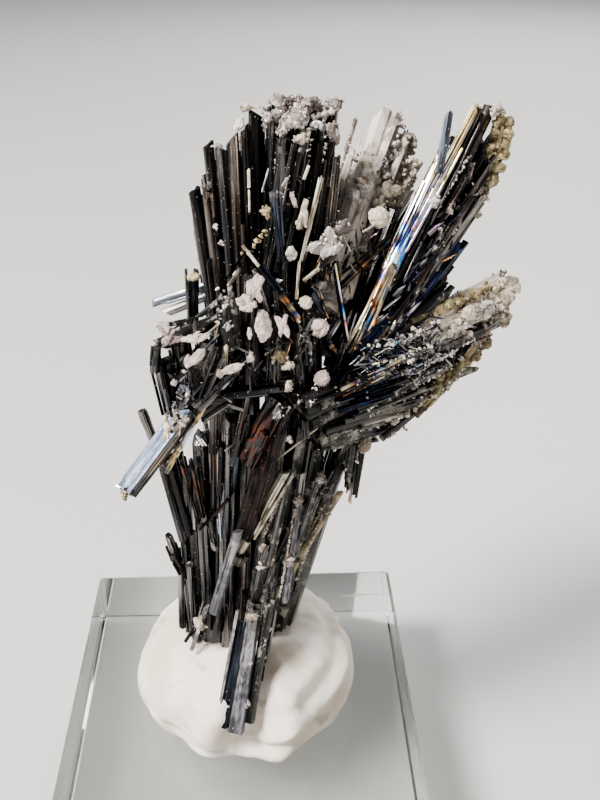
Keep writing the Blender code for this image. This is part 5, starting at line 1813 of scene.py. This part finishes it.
@dataclass
class Iridescent(Branch):
    """The fan of tarnished crystals at the upper right."""

    name: str = "iridescent"
    node: str = "iridescent_bundle"
    slot: str = "tarnished_stibnite"
    seed: int = 41
    ranks: int = 3
    step: Point = (0.1, 0.8, -0.6)
    shorten: float = 0.06
    reach_foot: float = 3.0
    rear_coats: tuple[Coat, ...] = (Coat.BLACK, Coat.BLACK, Coat.SMOKE, Coat.GRIMY)
    rear_frost: float = 1.2
    frost_tint: Tint = Tint.BEIGE
    prisms: tuple[Prism, ...] = (
        Prism((9.0, -3.0, 43.2), (12.7, 0.6, 50.0), 0.5, 0.5, Coat.RAINBOW, Habit.CHISEL, brood=2),
        Prism((7.9, -4.0, 40.2), (13.8, 2.6, 50.2), 0.9, 0.9, brood=4),
        Prism((8.4, -3.8, 40.6), (15.2, 2.9, 52.0), 0.8, 0.8, brood=4),
        Prism((8.9, -3.4, 40.4), (16.1, 4.0, 51.9), 0.9, 0.9, Coat.SMOKE, brood=4),
        Prism((9.8, -2.6, 40.4), (17.4, 4.8, 50.9), 1.1, 1.1, frost=2.0),
        Prism((9.3, -3.6, 40.6), (16.4, 3.0, 49.0), 0.9, 0.9, Coat.SMOKE, Habit.STEPPED, brood=4,
              frost=2.0),
        Prism((9.5, -3.6, 40.5), (15.6, 2.0, 46.9), 0.8, 0.8, brood=4, frost=2.0),
        Prism((9.7, -3.4, 40.0), (14.6, 0.9, 44.5), 0.8, 0.8, Coat.BLUE, Habit.STEPPED, brood=4),
        Prism((9.9, -3.4, 39.8), (13.7, -0.6, 42.2), 0.8, 0.8, habit=Habit.STEPPED, brood=4),
        Prism((7.3, -5.2, 39.5), (9.9, -3.0, 44.5), 0.5, 0.5, Coat.EMBER, Habit.BLADE),
        Prism((8.2, -5.0, 40.4), (11.1, -2.6, 43.0), 0.7, 0.7, Coat.BLUE, Habit.STEPPED),
        Prism((7.2, -3.5, 40.1), (10.1, 0.5, 46.7), 0.9, 0.9, brood=4),
        Prism((7.3, -2.4, 41.4), (11.8, 1.4, 47.1), 0.9, 0.9, brood=4),
    )
    odd: tuple[Prism, ...] = (
        Prism((12.45, -0.2, 48.8), (13.1, 1.3, 52.2), 0.55, 0.45, Coat.STEEL, Habit.CHISEL, brood=1,
              facing=TO_LEFT),
        Prism((6.85, -5.0, 39.9), (14.75, 2.3, 52.2), 0.26, 0.3, Coat.RAINBOW, Habit.CHISEL, brood=1,
              facing=TO_LEFT),
        Prism((7.1, -5.1, 39.7), (14.95, 2.2, 52.0), 0.3, 0.3, Coat.RAINBOW, Habit.BLADE, brood=1,
              facing=TO_LEFT),
        Prism((7.35, -5.0, 39.9), (14.0, 1.1, 50.0), 0.2, 0.24, Coat.RAINBOW, Habit.CHISEL, brood=0,
              facing=(0.1, -0.9, 0.4)),
        Prism((6.5, -4.2, 43.4), (9.7, -1.6, 45.5), 0.4, 0.4, Coat.EMBER, Habit.CHISEL),
        Prism((13.7, 1.2, 44.3), (15.1, 2.0, 45.7), 0.4, 0.4, Coat.LILAC, Habit.CHISEL, brood=1),
        Prism((15.7, 3.0, 46.6), (16.9, 3.9, 51.3), 1.1, 0.9, Coat.OCHRE, Habit.STEPPED, brood=4,
              frost=14.0),
        Prism((6.7, -3.7, 44.1), (9.7, -1.7, 45.7), 0.2, 0.2, Coat.SMOKE, Habit.NEEDLE, brood=1),
        Prism((8.4, -4.7, 41.2), (10.0, -2.5, 44.2), 0.3, 0.3, Coat.EMBER, Habit.BLADE, brood=1),
        Prism((7.5, -5.5, 39.9), (8.5, -4.6, 41.3), 0.24, 0.24, Coat.EMBER, Habit.NEEDLE, brood=1),
        Prism((9.4, -3.8, 41.0), (12.9, 0.0, 46.1), 0.5, 0.5, Coat.BLUE, brood=4),
        Prism((10.2, -3.2, 41.0), (13.8, 0.3, 46.3), 0.4, 0.4, habit=Habit.STEPPED, brood=4, frost=2.0),
        Prism((10.5, -3.0, 41.4), (11.4, -2.2, 42.9), 0.5, 0.4, Coat.LILAC, Habit.CHISEL, brood=1),
        Prism((7.6, -5.4, 39.6), (9.4, -3.6, 43.4), 0.26, 0.26, Coat.PALE, Habit.BLADE, brood=1),
        Prism((11.2, -1.6, 43.6), (14.9, 1.7, 48.9), 0.3, 0.3, Coat.SMOKE, Habit.STEPPED),
        Prism((12.2, -0.9, 44.6), (13.1, -0.1, 45.9), 0.4, 0.3, Coat.LILAC, Habit.SPLINTER, brood=1),
    )
    litter: tuple[Litter, ...] = (
        Litter((8.6, -4.6, 40.6), (13.4, 0.0, 46.4), (1.5, 0.4, 1.2), 90,
              (Coat.LILAC, Coat.SMOKE, Coat.BLUE, Coat.EMBER, Coat.RAINBOW, Coat.BLUE, Coat.BLACK), 1.0,
              0.18, 0.6, 0.25),
    )
    druses: tuple[Druse, ...] = (
        Druse((16.0, 3.2, 51.7), (0.7, 0.6, 0.4), Tint.GREY, 60, 0.09),
        Druse((15.0, 2.6, 52.0), (0.3, 0.3, 0.25), Tint.BEIGE, 24),
        Druse((14.8, 1.5, 46.0), (0.4, 0.4, 0.5), points=40),
        Druse((8.8, -2.6, 47.0), (0.66, 0.6, 0.66), Tint.BEIGE, 10, 0.06, 1),
        Druse((12.2, -0.6, 47.3), (0.5, 0.3, 0.5), Tint.WHITE, 40),
        Druse((13.2, 0.2, 43.6), (0.5, 0.5, 0.5), Tint.BEIGE, 44),
        Druse((12.4, -1.1, 44.4), (0.3, 0.25, 0.35), points=24),
        Druse((16.0, 5.2, 48.6), (0.7, 0.6, 0.8), Tint.BEIGE, 60),
        Druse((13.4, 3.4, 46.2), (0.7, 0.6, 0.7), points=60),
    )
    flakes: tuple[Flake, ...] = (
        Flake((13.3, 0.0, 46.6), 0.9, 0.4, -30.0, TO_RIGHT),
        Flake((12.6, -0.9, 45.4), 0.8, 0.3, -35.0, TO_RIGHT, Tint.GREY),
        Flake((11.9, -1.6, 43.6), 0.9, 0.3, -35.0, TO_RIGHT, Tint.WHITE),
        Flake((13.9, 0.6, 45.9), 1.6, 0.6, -32.0, TO_RIGHT, Tint.GREY),
        Flake((14.6, 1.6, 48.4), 1.2, 0.4, -30.0, TO_RIGHT),
        Flake((12.6, -0.8, 43.5), 1.2, 0.5, -40.0, TO_RIGHT, Tint.GREY),
    )
    seams: tuple[Seam, ...] = (
        Seam((17.0, 3.7, 50.9), (16.2, 2.8, 47.3), 0.7, Tint.OCHRE, 90, 0.15, 0.35),
        Seam((16.4, 3.2, 51.4), (15.9, 2.8, 48.6), 0.4, Tint.OCHRE, 50, 0.14, 0.4),
        Seam((16.3, 2.9, 47.4), (15.3, 1.9, 45.8), 0.36, Tint.BEIGE, 40, 0.12, 0.4),
        Seam((10.9, -2.8, 42.4), (13.6, -0.2, 45.8), 0.13, points=20),
        Seam((12.4, -0.4, 46.6), (14.4, 1.2, 49.4), 0.13, Tint.WHITE, 16),
    )


@dataclass
class LowerRight(Branch):
    """The branch that points to the right, dusted with quartz."""

    name: str = "lower_right"
    node: str = "lower_right_branch"
    slot: str = "tarnished_stibnite"
    seed: int = 53
    ranks: int = 3
    step: Point = (-0.3, 0.85, -0.5)
    shorten: float = 0.06
    reach_foot: float = 2.0
    rear_coats: tuple[Coat, ...] = (Coat.GRIMY, Coat.OCHRE, Coat.SMOKE, Coat.BLACK, Coat.COATED)
    rear_frost: float = 3.0
    frost_tint: Tint = Tint.WHITE
    frost_size: float = 0.12
    prisms: tuple[Prism, ...] = (
        Prism((6.3, -5.0, 37.6), (18.3, 3.0, 40.1), 1.3, 1.2, Coat.GRIMY, brood=4, frost=3.0),
        Prism((11.6, -2.0, 39.6), (18.3, 2.9, 40.3), 1.7, 1.5, Coat.SHELL, brood=4, frost=12.0),
        Prism((6.0, -5.4, 36.9), (17.7, 2.2, 38.7), 1.5, 1.3, Coat.GRIMY, brood=5, frost=3.0),
        Prism((6.3, -5.0, 35.9), (15.9, 1.2, 36.8), 1.5, 1.3, Coat.GRIMY, brood=5, frost=3.0),
        Prism((6.8, -4.4, 34.8), (14.0, 0.0, 34.8), 1.5, 1.3, Coat.GRIMY, Habit.STEPPED, brood=4,
              frost=3.0),
        Prism((6.0, -6.2, 38.0), (12.8, -2.4, 39.1), 1.0, 0.9, brood=5, frost=9.0),
        Prism((7.0, -3.8, 33.4), (11.0, -1.4, 32.8), 1.3, 1.2, Coat.GRIMY, Habit.STEPPED, brood=4,
              frost=4.0),
    )
    odd: tuple[Prism, ...] = (
        Prism((8.5, -2.9, 34.8), (7.7, -3.2, 27.8), 0.7, 0.8, habit=Habit.STEPPED, frost=1.0),
        Prism((7.9, -3.0, 34.4), (7.3, -3.4, 29.0), 0.6, 0.7, Coat.GRIMY, Habit.STEPPED, frost=2.0),
        Prism((7.6, -3.6, 29.8), (7.5, -3.7, 28.1), 0.24, 0.24, Coat.PALE, Habit.NEEDLE, brood=1),
        Prism((6.2, -5.9, 37.5), (7.2, -5.8, 38.7), 0.3, 0.3, Coat.PALE, Habit.CHISEL, brood=2),
        Prism((6.5, -6.8, 38.2), (10.1, -5.2, 39.3), 0.26, 0.25, Coat.RAINBOW, Habit.NEEDLE, brood=2),
        Prism((6.6, -6.8, 37.8), (9.2, -5.6, 38.5), 0.2, 0.2, Coat.EMBER, Habit.NEEDLE, brood=2),
        Prism((6.2, -6.7, 37.4), (10.6, -5.2, 38.1), 0.4, 0.4, Coat.BLUE, brood=5),
        Prism((6.4, -6.3, 36.6), (9.9, -5.0, 37.0), 0.4, 0.4, Coat.BLUE),
        Prism((7.6, -6.3, 38.6), (12.0, -4.0, 39.5), 0.45, 0.4, habit=Habit.STEPPED, brood=5, frost=14.0),
        Prism((7.4, -5.4, 35.6), (12.4, -2.8, 36.2), 0.4, 0.4, Coat.GRIMY, Habit.STEPPED, frost=2.0),
        Prism((7.6, -5.7, 36.2), (13.4, -2.6, 37.4), 0.45, 0.4, habit=Habit.STEPPED, brood=5, frost=10.0),
        Prism((8.0, -6.0, 37.6), (13.4, -2.9, 38.6), 0.45, 0.4, Coat.DUSK, Habit.STEPPED, brood=5,
              frost=12.0),
        Prism((10.9, -3.0, 40.7), (15.3, 0.2, 41.0), 0.4, 0.4, Coat.OCHRE, Habit.STEPPED, brood=2,
              frost=3.0),
        Prism((13.2, -1.8, 35.2), (18.0, 2.4, 39.4), 0.5, 0.45, Coat.OCHRE, Habit.STEPPED, frost=5.0),
        Prism((12.6, -2.6, 39.2), (18.1, 1.9, 40.0), 0.3, 0.3, Coat.COATED, Habit.STEPPED, brood=4,
              frost=6.0),
        Prism((12.4, -2.7, 37.8), (17.6, 1.4, 39.0), 0.3, 0.3, Coat.GRIMY, Habit.STEPPED, brood=4,
              frost=5.0),
        Prism((11.6, -2.6, 34.0), (16.6, 1.4, 37.4), 0.5, 0.45, Coat.OCHRE, Habit.STEPPED, frost=5.0),
        Prism((9.4, -3.4, 32.8), (14.4, -0.4, 35.6), 0.5, 0.45, Coat.GRIMY, Habit.STEPPED, frost=4.0),
    )
    litter: tuple[Litter, ...] = (
        Litter((7.6, -6.1, 39.4), (12.8, -3.1, 39.6), (0.5, 0.3, 1.2), 260,
              (Coat.STEEL, Coat.LILAC, Coat.DUSK, Coat.BLUE, Coat.BLACK, Coat.PALE), 1.0, 0.09, 1.0),
    )
    druses: tuple[Druse, ...] = (
        Druse((14.3, -0.4, 40.0), (1.4, 0.9, 0.95), Tint.BEIGE, 130, 0.11, 6),
        Druse((15.8, 0.7, 40.0), (1.4, 0.9, 1.0), Tint.WHITE, 130, 0.11, 6),
        Druse((17.2, 1.8, 40.1), (1.2, 0.9, 0.95), Tint.BEIGE, 120, 0.11, 6),
        Druse((18.0, 2.6, 40.6), (0.8, 0.7, 0.8), Tint.BEIGE, 90, 0.11),
        Druse((17.5, 1.9, 38.4), (0.8, 0.7, 0.7), Tint.BEIGE, 80, 0.12),
        Druse((16.5, 1.2, 37.5), (0.8, 0.7, 0.7), Tint.OCHRE, 80, 0.14),
        Druse((15.5, 0.3, 36.8), (0.7, 0.6, 0.6), Tint.OCHRE, 70, 0.14),
        Druse((8.4, -3.4, 32.7), (0.5, 0.5, 0.9), Tint.BEIGE, 70),
        Druse((13.6, 1.6, 37.2), (1.0, 0.8, 0.7), points=80),
        Druse((16.2, 3.4, 38.6), (0.9, 0.8, 0.6), Tint.BEIGE, 80),
    )
    seams: tuple[Seam, ...] = (
        Seam((12.6, -1.9, 40.9), (16.1, 0.9, 41.3), 0.36, Tint.OCHRE, 60, 0.12, 0.5),
        Seam((16.2, 1.0, 41.0), (17.6, 2.2, 41.0), 0.3, Tint.BEIGE, 60, 0.12, 0.6),
        Seam((13.4, -1.5, 39.8), (17.8, 1.5, 40.5), 0.34, Tint.BEIGE, 50, 0.1, 1.2),
        Seam((13.6, -1.5, 38.8), (17.6, 1.4, 39.5), 0.3, Tint.BEIGE, 50, 0.1, 1.2),
        Seam((12.8, -2.0, 38.0), (16.4, 0.6, 38.4), 0.34, points=50, ragged=1.0),
        Seam((12.6, -2.0, 35.6), (16.0, 0.6, 37.0), 0.44, Tint.OCHRE, 70, 0.13, 0.6),
        Seam((10.2, -3.5, 34.2), (13.8, -1.4, 35.6), 0.28, Tint.BEIGE, 40, 0.12, 0.6),
        Seam((8.4, -5.4, 40.3), (12.6, -2.9, 40.4), 0.22, Tint.WHITE, 60, 0.09, 1.1),
        Seam((8.8, -5.6, 39.2), (12.2, -3.5, 39.2), 0.15, Tint.WHITE, 60, 0.08, 1.2),
    )


@dataclass
class QuartzCoated(Branch):
    """The bundle behind the middle, all coated with fine quartz."""

    name: str = "quartz_coated"
    node: str = "quartz_coated_bundle"
    slot: str = "quartz_crust"
    seed: int = 67
    ranks: int = 2
    step: Point = (0.1, 0.7, -1.1)
    shorten: float = 0.05
    reach_foot: float = 5.0
    rear_coats: tuple[Coat, ...] = (Coat.COATED,)
    rear_frost: float = 6.0
    prisms: tuple[Prism, ...] = (
        Prism((7.5, 0.0, 45.7), (10.2, 5.9, 50.9), 2.1, 1.6, Coat.COATED, brood=2, frost=9.0),
        Prism((7.3, 0.6, 46.0), (8.9, 5.2, 49.6), 1.2, 1.3, Coat.COATED, brood=2, frost=9.0),
        Prism((8.6, 0.8, 45.3), (11.3, 6.1, 49.6), 1.4, 1.3, Coat.COATED, frost=7.0),
        Prism((9.2, 1.3, 45.0), (12.1, 5.2, 48.1), 1.2, 1.1, Coat.COATED, Habit.STEPPED, frost=9.0),
        Prism((7.2, -1.4, 43.0), (8.4, 0.6, 46.6), 1.2, 1.2, Coat.GRIMY, Habit.STEPPED, frost=8.0),
    )
    druses: tuple[Druse, ...] = (
        Druse((10.0, 5.3, 50.4), (0.9, 0.7, 0.6), grain=0.09),
        Druse((8.0, 0.4, 47.2), (0.9, 0.6, 0.8), Tint.WHITE, 110, 0.09),
        Druse((9.1, 1.0, 46.5), (0.7, 0.6, 0.6), Tint.BEIGE, 90, 0.09),
        Druse((10.0, 1.5, 47.2), (0.9, 0.6, 0.8), Tint.BEIGE, 90, 0.09),
        Druse((11.4, 4.4, 47.6), (0.6, 0.6, 0.6), Tint.BEIGE, 80, 0.09),
    )
    seams: tuple[Seam, ...] = (
        Seam((7.5, 0.0, 46.6), (8.9, 3.4, 49.3), 0.36, Tint.BEIGE, 80, 0.08, 0.8),
        Seam((8.7, 0.5, 46.4), (10.7, 5.0, 50.3), 0.32, Tint.WHITE, 70, 0.08, 0.8),
        Seam((9.3, 0.8, 46.0), (11.6, 5.4, 49.3), 0.4, Tint.BEIGE, 80, 0.09, 0.6),
        Seam((9.6, 1.2, 45.6), (12.0, 4.8, 48.2), 0.4, Tint.BEIGE, 80, 0.09),
    )


@dataclass
class Leaning:
    """A crystal that leans on the spray, in one or more lengths."""

    name: str
    node: str
    slot: str
    prisms: tuple[Prism, ...]
    seed: int = 5

    def build(self, stock: Stock, paintbox: Paintbox) -> list[bpy.types.Object]:
        """Make the crystal.

        Args:
            stock: the master shapes.
            paintbox: where the materials come from.

        Returns:
            The crystal's object.
        """
        rng = random.Random(self.seed)
        growth = Growth()
        for prism in self.prisms:
            for row in (prism, *prism.young(rng)):
                row.grow(growth, stock, rng)
        obj = growth.to_object(self.name, paintbox)
        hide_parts(self.node)
        self.dress(obj)
        return [obj]

    def dress(self, obj: bpy.types.Object) -> None:
        """Fix the crystal to the frame."""
        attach(obj, BODY)


LEANING = (
    Leaning("silver_crystal", "silver_prism", "bright_stibnite", (
        # Only the broad face, turned to mirror the key lamp, gets the bright coat; the dark smoky sides
        # are painted shade on the same crystal.
        Prism((-2.2, -7.0, 37.3), (-5.8, -9.2, 33.2), 1.25, 0.75, Coat.MIRROR, Habit.SLAB, brood=0,
              facing=(-0.456, -0.553, 0.697), shaded_flank=Coat.SMOKE),
        Prism((-2.75, -7.9, 37.2), (-3.1, -8.1, 35.7), 0.42, 0.4, Coat.PALE, Habit.SPLINTER, brood=1,
              facing=(-0.3, -0.6, 0.7)),
        Prism((-5.6, -9.1, 33.5), (-6.0, -9.3, 32.7), 0.8, 0.5, Coat.GILT, Habit.SPLINTER),
    )),
    Leaning("plum_rod", "dark_rod", "stibnite", (
        Prism((-2.7, 0.3, 20.6), (-6.1, 1.5, 32.4), 0.8, 0.8, habit=Habit.ROD, brood=0),
    )),
    Leaning("banded_crystal", "cream_prism", "cream_crystal", (
        Prism((0.3, -4.9, 25.2), (3.4, -5.6, 32.1), 0.62, 0.42, Coat.PALE, Habit.BLADE, brood=2,
              facing=(-0.5, -0.8, 0.3)),
    )),
    Leaning("blue_grey_needle", "blue_needle", "tarnished_stibnite", (
        Prism((3.2, -4.8, 45.3), (2.8, -4.4, 49.2), 0.45, 0.4, Coat.DUSK, Habit.STEPPED, brood=2),
        Prism((2.85, -4.5, 48.6), (2.75, -4.4, 49.5), 0.5, 0.4, Coat.LILAC, Habit.SPLINTER, brood=1),
    )),
    Leaning("pale_needle", "cream_needle", "cream_crystal", (
        Prism((4.3, -4.8, 45.3), (5.4, -3.7, 49.8), 0.22, 0.22, Coat.PALE, Habit.STEPPED, brood=2),
    )),
    Leaning("bronze_needle", "bent_needle", "stibnite", (
        Prism((1.1, -5.0, 46.3), (2.2, -5.9, 45.1), 0.22, 0.22, Coat.PALE, Habit.CHISEL, brood=1),
        Prism((2.0, -5.8, 45.4), (3.3, -6.5, 43.8), 0.38, 0.34, Coat.DUSK, Habit.STEPPED, brood=2),
        Prism((3.1, -6.4, 44.0), (4.2, -6.8, 42.4), 0.48, 0.4, Coat.EMBER, Habit.STEPPED, brood=2),
    )),
    Leaning("violet_needle", "purple_needle", "tarnished_stibnite", (
        Prism((6.9, -5.1, 40.4), (6.1, -4.5, 45.2), 0.28, 0.3, Coat.BLUE, Habit.CHISEL, brood=1),
        Prism((7.0, -5.3, 40.6), (6.2, -4.7, 45.1), 0.13, 0.12, Coat.RAINBOW, Habit.NEEDLE, brood=0),
    )),
)


@dataclass(frozen=True)
class Crease:
    """A crease in the putty, from one place on its side to another."""

    start: tuple[float, float]     # degrees round the lump, and mm up from the block
    end: tuple[float, float]
    depth: float
    width: float

    def press(self, angle: float, level: float, radius: float) -> float:
        """How deep it is at a place on the side.

        Args:
            angle: degrees round the lump.
            level: mm up from the block.
            radius: the lump's radius.

        Returns:
            The depth in mm, with a small rise beside the crease.
        """
        place = Vector((((angle - self.start[0] + 180.0) % 360.0 - 180.0) * math.radians(radius),
                        level - self.start[1]))
        line = Vector(((self.end[0] - self.start[0]) * math.radians(radius), self.end[1] - self.start[1]))
        share = min(max(place.dot(line) / line.length_squared, 0.0), 1.0)
        off = (place - line * share).length / self.width
        fade = min(1.0, 4.0 * share + 0.3, 4.0 * (1.0 - share) + 0.3)
        return self.depth * fade * (math.exp(-off * off) - 0.45 * math.exp(-(off - 1.8) ** 2 / 0.6))


@dataclass
class Putty:
    """The lump of putty, pressed round the foot of the spray."""

    centre: tuple[float, float] = (0.3, -1.0)
    foot: float = 9.7
    radius: float = 7.9
    height: float = 6.9
    tuck: float = 0.07             # how far its foot lies in
    creases: tuple[Crease, ...] = (
        Crease((28.0, 5.6), (-74.0, 3.9), 0.34, 0.50),
        Crease((-6.0, 3.5), (-68.0, 1.6), 0.36, 0.42),
        Crease((-54.0, 2.6), (-92.0, 1.0), 0.40, 0.36),
        Crease((-136.0, 1.7), (-100.0, 1.1), 0.26, 0.32),
        Crease((-160.0, 2.6), (-140.0, 1.5), 0.20, 0.34),
        Crease((10.0, 4.2), (60.0, 2.2), 0.34, 0.45),
        Crease((64.0, 4.8), (118.0, 2.0), 0.36, 0.48),
        Crease((126.0, 4.4), (170.0, 3.0), 0.32, 0.44),
        Crease((178.0, 3.8), (206.0, 1.2), 0.26, 0.40),
        Crease((-94.0, 0.6), (-78.0, 6.2), 1.25, 1.45),
    )

    def build(self, paintbox: Paintbox) -> list[bpy.types.Object]:
        """Turn the lump's outline, press its creases in and roughen it.

        Args:
            paintbox: where the material comes from.

        Returns:
            The putty's object.
        """
        bench = Bench("pressed_putty", bpy.ops.mesh.primitive_uv_sphere_add, segments=96, ring_count=48,
                      radius=1.0)
        bench.cut(ORIGIN, (0.0, 0.0, -1.0), clear=True)
        bpy.ops.object.mode_set(mode="OBJECT")
        self._shape(bench.object)
        bpy.ops.object.mode_set(mode="EDIT")
        putty = bench.close()
        apply_modifier(putty, "DISPLACE", texture=clouds("pressed", 4.2 * MM, 1), strength=0.9 * MM,
                       texture_coords="LOCAL", mid_level=0.55)
        apply_modifier(putty, "SUBSURF", levels=1, render_levels=1)
        self._crease(putty)
        apply_modifier(putty, "DISPLACE", texture=clouds("lumps", 1.1 * MM, 3), strength=0.30 * MM,
                       texture_coords="LOCAL", mid_level=0.5)
        self._settle(putty)
        putty.data.shade_smooth()
        putty.data.materials.append(paintbox.material(PuttyFinish()))
        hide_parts("mounting_putty")
        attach(putty, BODY)
        return [putty]

    def _shape(self, obj: bpy.types.Object) -> None:
        """Move the half ball's points to the outline of the lump."""
        for vert in obj.data.vertices:
            rise = math.degrees(math.asin(min(max(vert.co.z, 0.0), 1.0))) / 90.0
            turn = math.atan2(vert.co.y, vert.co.x)
            share = 1.0 - (1.0 - rise) ** 1.25
            reach = self.radius * (1.0 - share ** 4.0) ** 0.42 if vert.co.xy.length > 0.01 else 0.0
            reach *= 1.0 - self.tuck * max(1.0 - share / 0.3, 0.0) ** 2
            reach *= 1.0 + 0.025 * math.cos(turn - 0.6)
            if vert.co.z <= 0.0:
                reach = min(reach, self.radius * vert.co.xy.length)
            vert.co = Vector((self.centre[0] + reach * math.cos(turn),
                              self.centre[1] + reach * math.sin(turn),
                              self.foot + self.height * share)) * MM

    def _crease(self, obj: bpy.types.Object) -> None:
        """Press the creases in along the skin's normals."""
        normals = [vert.normal.copy() for vert in obj.data.vertices]
        for vert, normal in zip(obj.data.vertices, normals):
            x, y = vert.co.x / MM - self.centre[0], vert.co.y / MM - self.centre[1]
            level = vert.co.z / MM - self.foot
            if level > 0.05:
                angle = math.degrees(math.atan2(y, x))
                depth = sum(crease.press(angle, level, self.radius) for crease in self.creases)
                vert.co -= normal * depth * min(level / 0.5, 1.0) * MM

    def _settle(self, obj: bpy.types.Object) -> None:
        """Press the lump's underside flat on the block."""
        for vert in obj.data.vertices:
            vert.co.z = max(vert.co.z, self.foot * MM)


@dataclass
class ClearBlock:
    """The clear acrylic block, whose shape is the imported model's own."""

    node: str = "acrylic_block"

    def dress(self, frame: dict, paintbox: Paintbox) -> None:
        """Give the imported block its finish.

        Args:
            paintbox: where the material comes from.
        """
        block = frame["nodes"][self.node]
        block.data.materials.clear()
        block.data.materials.append(paintbox.material(AcrylicFinish()))


@dataclass(frozen=True)
class Softbox:
    """A square area light that looks at the spray."""

    name: str
    way: Point                     # its direction from the spray
    distance: float                # metres
    size: float                    # metres
    watts: float
    colour: Colour


@dataclass
class Studio:
    """The camera, the pale floor and the soft lights."""

    eye: Point = (2.42, -56.92, 65.4)
    pitch: float = 29.0            # degrees that the camera looks down
    yaw: float = 2.0               # degrees that it looks to the right
    lens: float = 45.0
    sensor: float = 36.0
    floor_side: float = 4.0        # metres
    floor_gap: float = 0.1         # mm that the floor lies below the block
    world: float = 0.23            # how bright the room is
    haze: Colour = (0.92, 0.92, 0.93)
    softboxes: tuple[Softbox, ...] = (
        Softbox("key", (-0.50, -0.36, 0.79), 0.42, 0.12, 3.6, (1.0, 0.97, 0.93)),
        Softbox("window", (-0.80, 0.02, 0.60), 0.45, 0.26, 0.45, (0.88, 0.93, 1.0)),
        Softbox("left_card", (-0.86, -0.42, 0.30), 0.42, 0.14, 0.30, (1.0, 0.93, 0.86)),
        Softbox("right_card", (0.80, -0.55, 0.26), 0.42, 0.14, 0.30, (1.0, 0.90, 0.80)),
        Softbox("rim", (0.30, 0.85, 0.50), 0.45, 0.16, 1.0, (1.0, 0.98, 0.95)),
    )
    aim: Point = (3.0, 0.0, 32.0)
    look: str = "AgX - Medium High Contrast"

    def build(self, paintbox: Paintbox) -> None:
        """Set up the camera, the floor, the lights and the world.

        Args:
            paintbox: where the floor's material comes from.
        """
        self._camera()
        bpy.ops.object.select_all(action="DESELECT")
        bpy.ops.mesh.primitive_plane_add(size=self.floor_side, location=(0.0, 0.0, -self.floor_gap * MM))
        bpy.ops.object.transform_apply(location=True)
        floor = bpy.context.object
        floor.name = "studio_floor"
        floor.data.materials.append(paintbox.material(FloorFinish()))
        for softbox in self.softboxes:
            self._light(softbox)
        world = bpy.data.worlds.new("studio")
        world.use_nodes = True
        background = world.node_tree.nodes["Background"]
        background.inputs["Color"].default_value = rgba(self.haze)
        background.inputs["Strength"].default_value = self.world
        bpy.context.scene.world = world
        bpy.context.scene.view_settings.look = self.look

    def _camera(self) -> None:
        """Place the camera where the object is seen from."""
        data = bpy.data.cameras.new("camera")
        data.sensor_fit = "VERTICAL"
        data.sensor_height = self.sensor
        data.lens = self.lens
        data.clip_start = 2.0 * MM
        camera = bpy.data.objects.new("camera", data)
        camera.location = Vector(self.eye) * MM
        camera.rotation_euler = (math.radians(90.0 - self.pitch), 0.0, math.radians(-self.yaw))
        bpy.context.scene.collection.objects.link(camera)
        bpy.context.scene.camera = camera

    def _light(self, softbox: Softbox) -> None:
        """Place a softbox."""
        data = bpy.data.lights.new(softbox.name, "AREA")
        data.size = softbox.size
        data.energy = softbox.watts
        data.color = softbox.colour
        light = bpy.data.objects.new(softbox.name, data)
        out = Vector(softbox.way).normalized()
        light.location = Vector(self.aim) * MM + out * softbox.distance
        light.rotation_euler = out.to_track_quat("Z", "Y").to_euler()
        bpy.context.scene.collection.objects.link(light)


def main() -> None:
    """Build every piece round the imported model."""
    logging.basicConfig(level=logging.INFO, format="%(name)s: %(message)s")
    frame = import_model()
    paintbox = Paintbox()
    stock = Stock()
    Studio().build(paintbox)
    ClearBlock().dress(frame, paintbox)
    pieces = Putty().build(paintbox)
    for part in (Stem(), Upright(), Middle(), Iridescent(), LowerRight(), QuartzCoated(), *LEANING):
        pieces += part.build(stock, paintbox)
    for piece in pieces:
        mesh = piece.data
        LOG.info("%s: %d faces, %d finishes", piece.name, len(mesh.polygons), len(mesh.materials))


if __name__ == "__main__":
    main()
